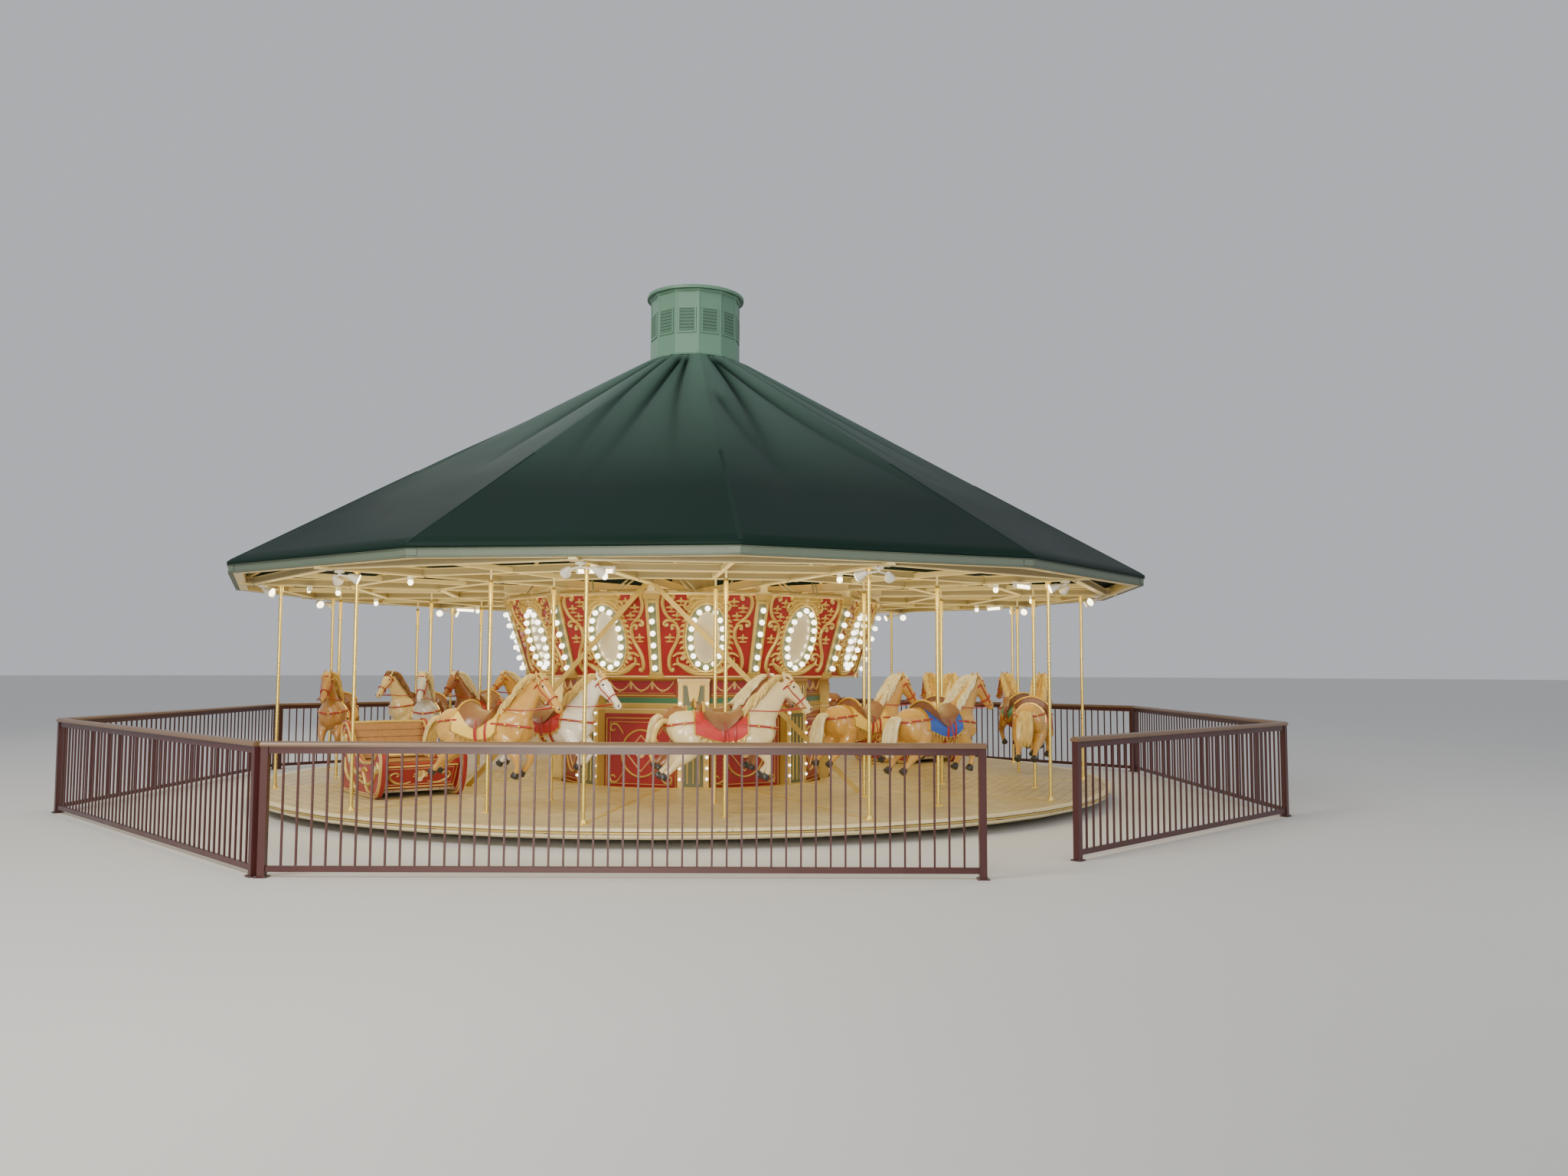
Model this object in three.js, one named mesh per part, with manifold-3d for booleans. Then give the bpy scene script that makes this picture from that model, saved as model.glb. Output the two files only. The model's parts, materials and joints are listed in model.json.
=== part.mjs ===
// Park carousel with its own twelve-sided roof, and the picket fence round it.
// Millimetres, Z up, origin on the floor under the centre mast, front at -Y.
import * as THREE from "three";
import { mergeVertices } from "three/addons/utils/BufferGeometryUtils.js";
import Module from "manifold-3d";

const wasm = await Module();
wasm.setup();

// Driving dimensions
const seat = 0.3;
const restTurn = 8.4;
const sides = 12;
const bay = 360 / sides;

const eaveRadius = 6210;
const fasciaBottom = 2745;
const fasciaTop = 2850;
const roofThickness = 25;
const roofLip = 20;
const roofSeat = 90;
const drumRadius = 640;
const drumWall = 40;
const drumBottom = 6105;
const drumTop = 7045;
const capRadius = 690;
const capTop = 7095;

const frameBottom = 2725;
const frameTop = 2815;
const hubTop = 3010;
const sweepWidth = 80;
const sweepReach = 5930;
const ringRadii = [3560, 4660, 5790];
const ringWidth = 60;
const crankWidth = 50;
const crankReach = 5590;
const crankBottom = 2735;
const crankTop = 2790;
const eaveBeamInner = 6060;
const eaveBeamOuter = 6165;

const mastRadius = 160;
const footWidth = 180;
const hubBore = 172;
const hubRadius = 300;
const bearingGap = 0.7;

const platformRadius = 5740;
const platformInner = 1985;
const platformBottom = 90;
const platformTop = 200;

const housingSides = 8;
const housingTurn = 4.9;
const housingRadius = 1885;
const housingThickness = 60;
const cornerRadius = 1930;
const cornerWidth = 385;
const baseTop = 1120;
const mouldingTop = 1333;
const friezeTop = 1577;
const housingTop = 1800;

const panelBottom = 1590;
const panelBottomRadius = 2330;
const panelTopRadius = 2660;
const panelTop = 2630;
const panelThickness = 50;
const hangerWidth = 60;

const rodRadius = 22;
const rodRing = 5450;
const braceCut = 86;
const braceThickness = 14;
const braceTopRadius = 2740;
const braceFootRadius = 3244;
const braceSpread = 50;

const poleRadius = 23;
const poleBottom = 105;
const poleTop = 2630;
const poleHole = 23.8;
const hangerRadius = 12;
const poleBore = 12.7;
const hangerBottom = 2530;
const boreBottom = 2430;
const outerRow = 4850;
const innerRow = 3640;
const chariotBays = [4, 10];
const chariotRing = 4200;

const fenceApothem = 7200;
const fenceHeight = 1100;
const fencePitch = 360;
const entranceWidth = 1300;

// Helpers

function radians(degrees) {
  return (degrees * Math.PI) / 180;
}

// A point at an angle from the front (-Y), counted towards +X.
function at(radius, degrees, z) {
  const a = radians(degrees);
  return new THREE.Vector3(radius * Math.sin(a), -radius * Math.cos(a), z);
}

function solid(geometry) {
  const bare = geometry.index ? geometry.toNonIndexed() : geometry.clone();
  bare.deleteAttribute("normal");
  bare.deleteAttribute("uv");
  const merged = mergeVertices(bare, 1e-3);
  const triangles = new Uint32Array(merged.index.array);
  const made = new wasm.Manifold(
    new wasm.Mesh({
      numProp: 3,
      vertProperties: merged.attributes.position.array,
      triVerts: triangles,
    }),
  );
  if (made.volume() >= 0) {
    return made;
  }
  for (let i = 0; i < triangles.length; i += 3) {
    const swapped = triangles[i + 1];
    triangles[i + 1] = triangles[i + 2];
    triangles[i + 2] = swapped;
  }
  return new wasm.Manifold(
    new wasm.Mesh({
      numProp: 3,
      vertProperties: merged.attributes.position.array,
      triVerts: triangles,
    }),
  );
}

function geometryOf(body) {
  const made = body.getMesh();
  const stride = made.numProp;
  const positions = new Float32Array(made.numVert * 3);
  for (let i = 0; i < made.numVert; i++) {
    positions.set(made.vertProperties.subarray(i * stride, i * stride + 3), i * 3);
  }
  const geometry = new THREE.BufferGeometry();
  geometry.setAttribute("position", new THREE.BufferAttribute(positions, 3));
  geometry.setIndex(new THREE.BufferAttribute(made.triVerts, 1));
  return geometry;
}

function union(bodies) {
  return bodies.reduce((sum, body) => sum.add(body));
}

// A ring turned about Z from a closed profile of [radius, z] pairs.
function ring(profile, segments, turn = 0) {
  const points = profile.map(([r, z]) => new THREE.Vector2(r, z));
  points.push(points[0].clone());
  const geometry = new THREE.LatheGeometry(points, segments);
  geometry.rotateX(Math.PI / 2);
  geometry.rotateZ(radians(turn));
  return solid(geometry);
}

// A disc turned about Z from an open profile that starts and ends on the axis.
function disc(profile, segments, turn = 0) {
  const points = profile.map(([r, z]) => new THREE.Vector2(r, z));
  const geometry = new THREE.LatheGeometry(points, segments);
  geometry.rotateX(Math.PI / 2);
  geometry.rotateZ(radians(turn));
  return solid(geometry);
}

function box(x0, x1, y0, y1, z0, z1) {
  const geometry = new THREE.BoxGeometry(x1 - x0, y1 - y0, z1 - z0);
  geometry.translate((x0 + x1) / 2, (y0 + y1) / 2, (z0 + z1) / 2);
  return solid(geometry);
}

// A bar that runs out from the axis, at an angle from the front.
function radialBar(r0, r1, width, z0, z1, degrees) {
  const geometry = new THREE.BoxGeometry(width, r1 - r0, z1 - z0);
  geometry.translate(0, -(r0 + r1) / 2, (z0 + z1) / 2);
  geometry.rotateZ(radians(degrees));
  return solid(geometry);
}

function rod(radius, z0, z1, segments) {
  const geometry = new THREE.CylinderGeometry(radius, radius, z1 - z0, segments);
  geometry.rotateX(Math.PI / 2);
  geometry.translate(0, 0, (z0 + z1) / 2);
  return solid(geometry);
}

// An eight-sided rod on a row of poles, turned with its place so that its flats face the pole's.
function rodOnRow(radius, z0, z1, row, degrees) {
  const geometry = new THREE.CylinderGeometry(radius, radius, z1 - z0, 8);
  geometry.rotateX(Math.PI / 2);
  geometry.translate(0, -row, (z0 + z1) / 2);
  geometry.rotateZ(radians(degrees));
  return solid(geometry);
}

// Calls back with each place where a horse stands.
function eachHorsePlace(callback) {
  for (let i = 0; i < sides; i++) {
    if (!chariotBays.includes(i)) {
      callback(outerRow, i * bay);
      callback(innerRow, i * bay);
    }
  }
}

// A closed body between two loops with the same number of corners.
function loft(lower, upper) {
  const count = lower.length;
  const positions = [];
  const push = (...points) => points.forEach((p) => positions.push(p.x, p.y, p.z));
  for (let i = 0; i < count; i++) {
    const j = (i + 1) % count;
    push(lower[i], lower[j], upper[j]);
    push(lower[i], upper[j], upper[i]);
  }
  for (let i = 1; i < count - 1; i++) {
    push(lower[0], lower[i + 1], lower[i]);
    push(upper[0], upper[i], upper[i + 1]);
  }
  const geometry = new THREE.BufferGeometry();
  geometry.setAttribute("position", new THREE.Float32BufferAttribute(positions, 3));
  return solid(geometry);
}

// Materials

function paint(color, roughness, metalness = 0) {
  return new THREE.MeshStandardMaterial({ color, roughness, metalness });
}

const roofGreen = paint(0x12241d, 0.5);
const fasciaGreen = paint(0x6f7a66, 0.5, 0.2);
const drumGreen = paint(0x8fae98, 0.5, 0.2);
const cream = paint(0xe6d9ae, 0.5);
const brass = paint(0xc9a24a, 0.3, 0.9);
const deckGrey = paint(0xb9ad92, 0.7);
const carvedRed = paint(0x8e1a1c, 0.45);
const carvedGold = paint(0xc79a3f, 0.4, 0.5);
const fenceMaroon = paint(0x4a1b1a, 0.5, 0.1);
const mastGrey = paint(0x6d6f6b, 0.6, 0.4);
const horseCoats = [paint(0xd8cdb4, 0.4), paint(0x7a4a28, 0.4), paint(0xb98946, 0.4)];

function node(name, geometry, material, parent) {
  const mesh = new THREE.Mesh(geometry, material);
  mesh.name = name;
  parent.add(mesh);
  return mesh;
}

// Fixed parts

function centreMast() {
  const corner = housingRadius - housingThickness;
  const reach = corner - (footWidth / 2) * Math.tan(radians(180 / housingSides)) - seat;
  const feet = [0, 45, 90, 135].map((turn) =>
    radialBar(-reach, reach, footWidth, 0, 80, housingTurn + turn),
  );
  const hubBottom = frameBottom - 2;
  return union([
    ...feet,
    rod(mastRadius, 0, 3150, 12),
    rod(420, 0, 260, 12),
    rod(250, hubBottom - 110, hubBottom - bearingGap, 12),
  ]);
}

function fenceSide(left, right) {
  const parts = [
    box(left - 4, left + 64, -34, 34, 0, 1060),
    box(right - 64, right + 4, -34, 34, 0, 1060),
    box(left - 4, right + 4, -45, 45, 1040, fenceHeight),
    box(left, right, -14, 14, 1000, 1060),
    box(left, right, -14, 14, 45, 95),
  ];
  const first = left + 60;
  const bays = Math.round((right - left - 120) / fencePitch);
  const pitch = (right - left - 120) / bays;
  for (let i = 1; i < bays; i++) {
    const x = first + i * pitch;
    parts.push(box(x - 9, x + 9, -9, 9, 80, 1010));
  }
  return union(parts);
}

function buildFence(parent) {
  const names = [
    "front", "front_right", "right", "back_right", "back", "back_left", "left", "front_left",
  ];
  const half = fenceApothem * Math.tan(radians(22.5)) - 23;
  names.forEach((name, i) => {
    const left = name === "front_right" ? -half + entranceWidth : -half;
    const mesh = node("fence_" + name, geometryOf(fenceSide(left, half)), fenceMaroon, parent);
    mesh.position.copy(at(fenceApothem, i * 45, 0));
    mesh.rotation.z = radians(i * 45);
  });
}

// Turning frame and roof

function ceilingFrame() {
  const parts = [
    ring(
      [
        [hubBore, frameBottom - 2],
        [hubRadius, frameBottom - 2],
        [hubRadius, hubTop],
        [hubBore, hubTop],
      ],
      20,
    ),
    ring(
      [
        [eaveBeamInner, fasciaBottom],
        [eaveBeamOuter, fasciaBottom],
        [eaveBeamOuter, fasciaTop],
        [eaveBeamInner, fasciaTop],
      ],
      sides,
    ),
  ];
  for (let i = 0; i < sides; i++) {
    const sweepTurn = (i + 0.5) * bay;
    parts.push(radialBar(hubRadius - 60, sweepReach, sweepWidth, frameBottom, frameTop, sweepTurn));
    const crankStart = ringRadii[0] * Math.cos(radians(bay / 2)) - 20;
    parts.push(radialBar(crankStart, crankReach, crankWidth, crankBottom, crankTop, i * bay));
  }
  for (const radius of ringRadii) {
    const profile = [
      [radius - ringWidth, frameBottom + 2],
      [radius, frameBottom + 2],
      [radius, frameTop - 3],
      [radius - ringWidth, frameTop - 3],
    ];
    parts.push(ring(profile, sides, bay / 2));
  }
  eachHorsePlace((row, degrees) => {
    parts.push(rodOnRow(hangerRadius, hangerBottom, crankBottom + 5, row, degrees));
  });
  return union(parts);
}

// The stretched cover from the drum's foot to the eave.
function roof() {
  const profile = [
    [eaveRadius + roofLip, fasciaTop + seat],
    [eaveRadius + roofLip, fasciaTop + 22],
    [drumRadius + 30, drumBottom],
    [drumRadius - drumWall - 20, drumBottom],
    [drumRadius - drumWall - 20, drumBottom - roofThickness],
    [eaveRadius - roofLip - 15, fasciaTop + 12],
    [eaveRadius - roofSeat, fasciaTop + 10],
    [eaveRadius - roofSeat, fasciaTop + seat],
  ];
  return ring(profile, sides);
}

function fascia() {
  const profile = [
    [eaveRadius - 40, fasciaBottom],
    [eaveRadius, fasciaBottom],
    [eaveRadius, fasciaTop],
    [eaveRadius - 40, fasciaTop],
  ];
  return ring(profile, sides);
}

function cupolaDrum() {
  const profile = [
    [drumRadius - drumWall, drumBottom + seat],
    [drumRadius, drumBottom + seat],
    [drumRadius, drumTop],
    [drumRadius - drumWall, drumTop],
  ];
  return ring(profile, sides);
}

function cupolaCap() {
  const profile = [
    [0, drumTop + seat],
    [capRadius, drumTop + seat],
    [capRadius, capTop - 12],
    [capRadius - 20, capTop - 6],
    [0, capTop],
  ];
  return disc(profile, 36);
}

// Platform and centre

function platform() {
  const profile = [
    [platformInner, platformBottom],
    [platformRadius - 60, platformBottom],
    [platformRadius - 20, platformBottom + 40],
    [platformRadius, platformBottom + 50],
    [platformRadius, platformTop],
    [platformInner, platformTop],
  ];
  let deck = ring(profile, 48);
  eachHorsePlace((row, degrees) => {
    deck = deck.subtract(rodOnRow(poleHole, 50, 250, row, degrees));
  });
  return deck;
}

// One section of the fixed eight-sided housing, with its part of the corner posts.
function housingSection(profile, z0, z1) {
  const parts = [ring(profile, housingSides, housingTurn)];
  for (let i = 0; i < housingSides; i++) {
    const turn = housingTurn + (i * 360) / housingSides;
    parts.push(radialBar(cornerRadius - 130, cornerRadius, cornerWidth, z0, z1, turn));
  }
  return union(parts);
}

function housingBase() {
  const inner = housingRadius - housingThickness;
  const profile = [[inner, 0], [housingRadius, 0], [housingRadius, baseTop], [inner, baseTop]];
  return housingSection(profile, 0, baseTop);
}

function housingMoulding() {
  const z0 = baseTop + seat;
  const inner = housingRadius - housingThickness;
  const profile = [
    [inner, z0],
    [housingRadius + 10, z0],
    [housingRadius + 10, baseTop + 76],
    [housingRadius + 40, baseTop + 83],
    [housingRadius + 40, baseTop + 99],
    [housingRadius + 5, baseTop + 108],
    [housingRadius + 5, mouldingTop - 7],
    [housingRadius + 15, mouldingTop],
    [inner, mouldingTop],
  ];
  return housingSection(profile, z0, mouldingTop);
}

function housingFrieze() {
  const z0 = mouldingTop + seat;
  const inner = housingRadius - housingThickness;
  const profile = [[inner, z0], [housingRadius, z0], [housingRadius, housingTop], [inner, housingTop]];
  return housingSection(profile, z0, friezeTop);
}

function centrePanels() {
  const profile = [
    [panelBottomRadius - 70, panelBottom],
    [panelBottomRadius, panelBottom],
    [panelTopRadius, panelTop - 30],
    [panelTopRadius + 15, panelTop],
    [panelTopRadius - panelThickness - 15, panelTop],
  ];
  const parts = [ring(profile, sides, bay / 2)];
  for (let i = 0; i < sides; i++) {
    const turn = (i + 0.5) * bay;
    parts.push(
      radialBar(panelTopRadius - 58, panelTopRadius, hangerWidth, panelTop - 20, frameBottom - seat, turn),
    );
  }
  return union(parts);
}

// A flat bar from under a sweep down to the platform, on one side of the sweep.
function platformBrace(sweepTurn, side) {
  const apexTurn = (Math.atan((braceCut / 2 + 1) / braceTopRadius) * 180) / Math.PI;
  const t = radians(sweepTurn + (side * bay) / 2);
  const along = new THREE.Vector3(Math.cos(t), Math.sin(t), 0);
  const across = new THREE.Vector3(Math.sin(t), -Math.cos(t), 0);
  const loop = (radius, degrees, z) =>
    [[-1, -1], [1, -1], [1, 1], [-1, 1]].map(([u, v]) =>
      at(radius, degrees, z)
        .addScaledVector(along, (u * braceCut) / 2)
        .addScaledVector(across, (v * braceThickness) / 2),
    );
  return loft(
    loop(braceFootRadius, sweepTurn + side * braceSpread, platformTop + seat),
    loop(braceTopRadius, sweepTurn + side * apexTurn, frameBottom - seat),
  );
}

function dropRod() {
  return union([
    rod(rodRadius, platformTop + seat, frameBottom - seat, 10),
    rod(48, platformTop + seat, platformTop + 16, 10),
  ]);
}

// Horses and chariots

function plate(points, thickness, y) {
  const shape = new THREE.Shape(points.map(([x, z]) => new THREE.Vector2(x, z)));
  const geometry = new THREE.ExtrudeGeometry(shape, { depth: thickness, bevelEnabled: false });
  geometry.rotateX(Math.PI / 2);
  geometry.translate(0, y + thickness / 2, 0);
  return solid(geometry);
}

function blob(rx, ry, rz, x, z, turn, around, down) {
  const geometry = new THREE.SphereGeometry(1, around, down);
  geometry.rotateX(Math.PI / 2);
  geometry.rotateZ(radians(180 / around));
  geometry.scale(rx, ry, rz);
  geometry.rotateY(radians(turn));
  geometry.translate(x, 0, z);
  return solid(geometry);
}

function horse() {
  const foreLeg = [[300, 1000], [170, 1000], [260, 770], [400, 610], [470, 780], [340, 860]];
  const hindLeg = [[-230, 1010], [-430, 1000], [-560, 760], [-700, 600], [-450, 690]];
  const tail = [[-400, 1150], [-680, 1130], [-760, 740], [-660, 760], [-600, 1000], [-450, 1040]];
  const section = (points, z) => points.map(([x, y]) => new THREE.Vector3(x, y, z));
  const neck = loft(
    section([[210, -95], [500, -80], [500, 80], [210, 95]], 1040),
    section([[560, -48], [700, -42], [700, 42], [560, 48]], 1500),
  );
  const whole = union([
    blob(560, 190, 215, -20, 1060, 0, 8, 6),
    neck,
    blob(215, 68, 95, 740, 1415, 50, 6, 4),
    plate(foreLeg, 62, 95),
    plate(foreLeg.map(([x, z]) => [x - 40, z + 6]), 62, -95),
    plate(hindLeg, 66, 95),
    plate(hindLeg.map(([x, z]) => [x + 45, z - 4]), 66, -95),
    plate(tail, 60, 0),
    rod(poleRadius, poleBottom, poleTop, 8),
  ]);
  return whole.subtract(rod(poleBore, boreBottom, poleTop + 10, 8));
}

function chariot() {
  const z0 = platformTop + seat;
  const side = [
    [-620, z0],
    [560, z0],
    [760, z0 + 260],
    [660, z0 + 560],
    [470, z0 + 420],
    [60, z0 + 400],
    [-260, z0 + 560],
    [-520, z0 + 860],
    [-700, z0 + 760],
    [-640, z0 + 420],
  ];
  return union([
    plate(side, 45, 480),
    plate(side, 45, -480),
    box(-560, 500, -470, 470, z0 + 60, z0 + 100),
    box(-420, 60, -470, 470, z0 + 330, z0 + 390),
    plate([[-420, z0 + 330], [-360, z0 + 360], [-520, z0 + 790], [-570, z0 + 770]], 920, 0),
  ]);
}

function buildRiders(parent) {
  const horseGeometry = geometryOf(horse());
  const chariotGeometry = geometryOf(chariot());
  let number = 0;
  let benches = 0;
  for (let i = 0; i < sides; i++) {
    const degrees = i * bay;
    if (chariotBays.includes(i)) {
      benches += 1;
      const bench = node("chariot_" + benches, chariotGeometry, carvedRed, parent);
      bench.position.copy(at(chariotRing, degrees, 0));
      bench.rotation.z = radians(degrees);
      continue;
    }
    number += 1;
    const label = String(number).padStart(2, "0");
    for (const [row, radius] of [["outer", outerRow], ["inner", innerRow]]) {
      const coat = horseCoats[(number + (row === "inner" ? 1 : 0)) % horseCoats.length];
      const mesh = node("horse_" + row + "_" + label, horseGeometry, coat, parent);
      mesh.position.copy(at(radius, degrees, 0));
      mesh.rotation.z = radians(degrees);
    }
  }
}

function build() {
  const root = new THREE.Group();
  node("centre_mast", geometryOf(centreMast()), mastGrey, root);
  node("housing_base", geometryOf(housingBase()), carvedRed, root);
  node("housing_moulding", geometryOf(housingMoulding()), carvedGold, root);
  node("housing_frieze", geometryOf(housingFrieze()), carvedRed, root);
  buildFence(root);

  const machine = new THREE.Group();
  machine.rotation.z = radians(restTurn);
  root.add(machine);
  node("ceiling_frame", geometryOf(ceilingFrame()), cream, machine);
  node("roof", geometryOf(roof()), roofGreen, machine);
  node("fascia", geometryOf(fascia()), fasciaGreen, machine);
  node("cupola_drum", geometryOf(cupolaDrum()), drumGreen, machine);
  node("cupola_cap", geometryOf(cupolaCap()), drumGreen, machine);
  node("platform", geometryOf(platform()), deckGrey, machine);
  node("centre_panels", geometryOf(centrePanels()), carvedRed, machine);
  for (const [end, sweepTurn] of [["front", -bay / 2], ["back", 180 - bay / 2]]) {
    for (const [hand, side] of [["left", -1], ["right", 1]]) {
      const name = "platform_brace_" + end + "_" + hand;
      node(name, geometryOf(platformBrace(sweepTurn, side)), carvedGold, machine);
    }
  }
  const rodGeometry = geometryOf(dropRod());
  for (let i = 0; i < sides; i++) {
    const mesh = node("drop_rod_" + String(i + 1).padStart(2, "0"), rodGeometry, brass, machine);
    mesh.position.copy(at(rodRing, (i + 0.5) * bay, 0));
  }
  buildRiders(machine);
  return root;
}

export default build();
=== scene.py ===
import json
import math
import random

import bmesh
import bpy
import numpy as np
from mathutils import Matrix, Vector

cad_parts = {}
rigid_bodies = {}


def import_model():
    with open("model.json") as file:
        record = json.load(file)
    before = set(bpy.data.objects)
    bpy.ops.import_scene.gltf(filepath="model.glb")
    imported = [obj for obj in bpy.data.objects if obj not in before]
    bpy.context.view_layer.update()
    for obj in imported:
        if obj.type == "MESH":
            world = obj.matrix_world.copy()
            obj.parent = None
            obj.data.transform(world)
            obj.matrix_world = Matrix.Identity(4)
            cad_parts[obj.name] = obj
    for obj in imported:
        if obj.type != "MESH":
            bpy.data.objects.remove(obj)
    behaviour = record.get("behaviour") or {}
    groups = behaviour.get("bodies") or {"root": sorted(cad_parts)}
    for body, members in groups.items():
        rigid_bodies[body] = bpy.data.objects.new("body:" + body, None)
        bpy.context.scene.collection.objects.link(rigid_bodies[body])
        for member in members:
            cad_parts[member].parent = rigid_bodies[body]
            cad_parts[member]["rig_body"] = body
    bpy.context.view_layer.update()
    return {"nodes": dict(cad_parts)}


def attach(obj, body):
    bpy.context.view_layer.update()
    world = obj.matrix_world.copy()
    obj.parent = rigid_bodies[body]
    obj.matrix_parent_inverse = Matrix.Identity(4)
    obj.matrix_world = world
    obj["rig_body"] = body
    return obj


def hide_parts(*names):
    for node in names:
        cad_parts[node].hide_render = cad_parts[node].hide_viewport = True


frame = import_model()
print("frame loaded")

# Where the main parts of the carousel stand, in metres and degrees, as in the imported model.
layout = {
    "machineTurn": 8.4, "bays": 12, "eaveRadius": 6.21, "fasciaBottom": 2.745, "fasciaTop": 2.85,
    "drumRadius": 0.64, "drumBottom": 6.105, "drumTop": 7.045, "capRadius": 0.69, "capTop": 7.095,
    "frameBottom": 2.725, "frameTop": 2.815, "ringRadii": [3.56, 4.66, 5.79],
    "platformRadius": 5.74, "platformInner": 1.985, "platformTop": 0.2,
    "housingTurn": 4.9, "housingRadius": 1.885, "postRadius": 1.93, "postWidth": 0.385,
    "panelBottom": 1.59, "panelBottomRadius": 2.33, "panelTop": 2.6, "panelTopRadius": 2.66,
    "rodRing": 5.45, "outerRow": 4.85, "innerRow": 3.64, "chariotBays": [4, 10], "chariotRing": 4.2,
    "fenceApothem": 7.2, "entranceWidth": 1.3,
}
turn, bays = layout["machineTurn"], layout["bays"]
bayStep = 360 / bays
bayAngles = [turn + bayStep * i for i in range(bays)]
cornerAngles = [a + bayStep / 2 for a in bayAngles]
bayFlat = math.cos(math.radians(bayStep / 2))
eighth = 45  # degrees for one side of the housing, and of the fence
unitSize = (1.0, 1.0, 1.0)


def newObject(name, data):
    made = bpy.data.objects.new(name, data)
    bpy.context.scene.collection.objects.link(made)
    return made


def up(z):
    return Vector((0.0, 0.0, z))


def outward(degrees):
    a = math.radians(degrees)
    return Vector((math.sin(a), -math.cos(a), 0.0))


def sideways(degrees):
    a = math.radians(degrees)
    return Vector((math.cos(a), math.sin(a), 0.0))


def turnedBy(degrees, size=4):
    return Matrix.Rotation(math.radians(degrees), size, "Z")


def placeMatrix(radius, degrees):
    return turnedBy(degrees) @ Matrix.Translation((0.0, -radius, 0.0))


# Camera and light.

cameraSettings = {"place": (1.305, -16.9, 1.705), "pitch": 3.91, "roll": 0.17, "lens": 27.035,
                  "sensor": 36.0}


def makeCamera(settings):
    data = bpy.data.cameras.new("photo_camera")
    data.lens = settings["lens"]
    data.sensor_width = settings["sensor"]
    camera = newObject("photo_camera", data)
    camera.location = settings["place"]
    pitch = Matrix.Rotation(math.radians(90 + settings["pitch"]), 4, "X")
    camera.rotation_euler = (pitch @ turnedBy(settings["roll"])).to_euler()
    bpy.context.scene.camera = camera


# Each area light: its name, place, size, cone in degrees, power and colour.
lightSettings = {
    "sky": (0.9, 0.93, 1.0), "skyStrength": 0.58, "target": (0.0, 0.0, 1.9),
    "areas": [
        ("key_light", (-10.0, -14.0, 13.0), 7.0, 180, 1900.0, (1.0, 0.97, 0.92)),
        ("fill_light", (14.0, -12.0, 6.0), 8.0, 180, 500.0, (0.95, 0.97, 1.0)),
        ("low_light", (-2.0, -19.0, 3.0), 5.0, 70, 300.0, (1.0, 0.93, 0.8)),
        ("back_light", (-8.0, 15.0, 10.0), 9.0, 180, 380.0, (1.0, 0.98, 0.94)),
    ],
    # The warm light of the lamps under the roof: up to the ceiling and down to the deck.
    "lamps": {"radius": 5.6, "height": 2.6, "up": 260.0, "down": 420.0, "colour": (1.0, 0.78, 0.32)},
}


def makeAreaLight(name, place, rotation, size, cone, power, colour):
    data = bpy.data.lights.new(name, "AREA")
    data.shape = "DISK"
    data.size = size
    data.spread = math.radians(cone)
    data.energy = power
    data.color = colour
    lamp = newObject(name, data)
    lamp.location = place
    lamp.rotation_euler = rotation
    lamp.visible_camera = False


def makeLight(settings):
    world = bpy.data.worlds.new("studio_world")
    world.use_nodes = True
    background = world.node_tree.nodes["Background"]
    background.inputs["Color"].default_value = (*settings["sky"], 1.0)
    background.inputs["Strength"].default_value = settings["skyStrength"]
    bpy.context.scene.world = world
    for name, place, *others in settings["areas"]:
        way = Vector(settings["target"]) - Vector(place)
        makeAreaLight(name, place, way.to_track_quat("-Z", "Y").to_euler(), *others)
    glow = settings["lamps"]
    for name, power, tilt in (("ceiling_glow", glow["up"], math.pi), ("deck_glow", glow["down"], 0.0)):
        makeAreaLight(name, (0.0, 0.0, glow["height"]), (tilt, 0.0, 0.0), 2 * glow["radius"], 180, power,
                      glow["colour"])


# Adds nodes to a tree of either kind: a socket is linked, and any other value is set.
class Nodes:
    def __init__(self, tree):
        self.tree = tree

    def join(self, value, socket):
        if isinstance(value, bpy.types.NodeSocket):
            self.tree.links.new(value, socket)
        else:
            socket.default_value = value

    def node(self, kind, settings=None, **inputs):
        made = self.tree.nodes.new(kind)
        for key, value in (settings or {}).items():
            setattr(made, key, value)
        for label, value in inputs.items():
            self.join(value, made.inputs[label.replace("_", " ")])
        return made

    def calc(self, operation, *values):
        made = self.node("ShaderNodeMath", {"operation": operation})
        for value, socket in zip(values, made.inputs):
            self.join(value, socket)
        return made.outputs[0]

    def mix(self, first, second, factor, blend="MIX"):
        made = self.node("ShaderNodeMix", {"data_type": "RGBA", "blend_type": blend}, A=first, B=second,
                         Factor=factor)
        return made.outputs["Result"]


# Finishes.

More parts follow.
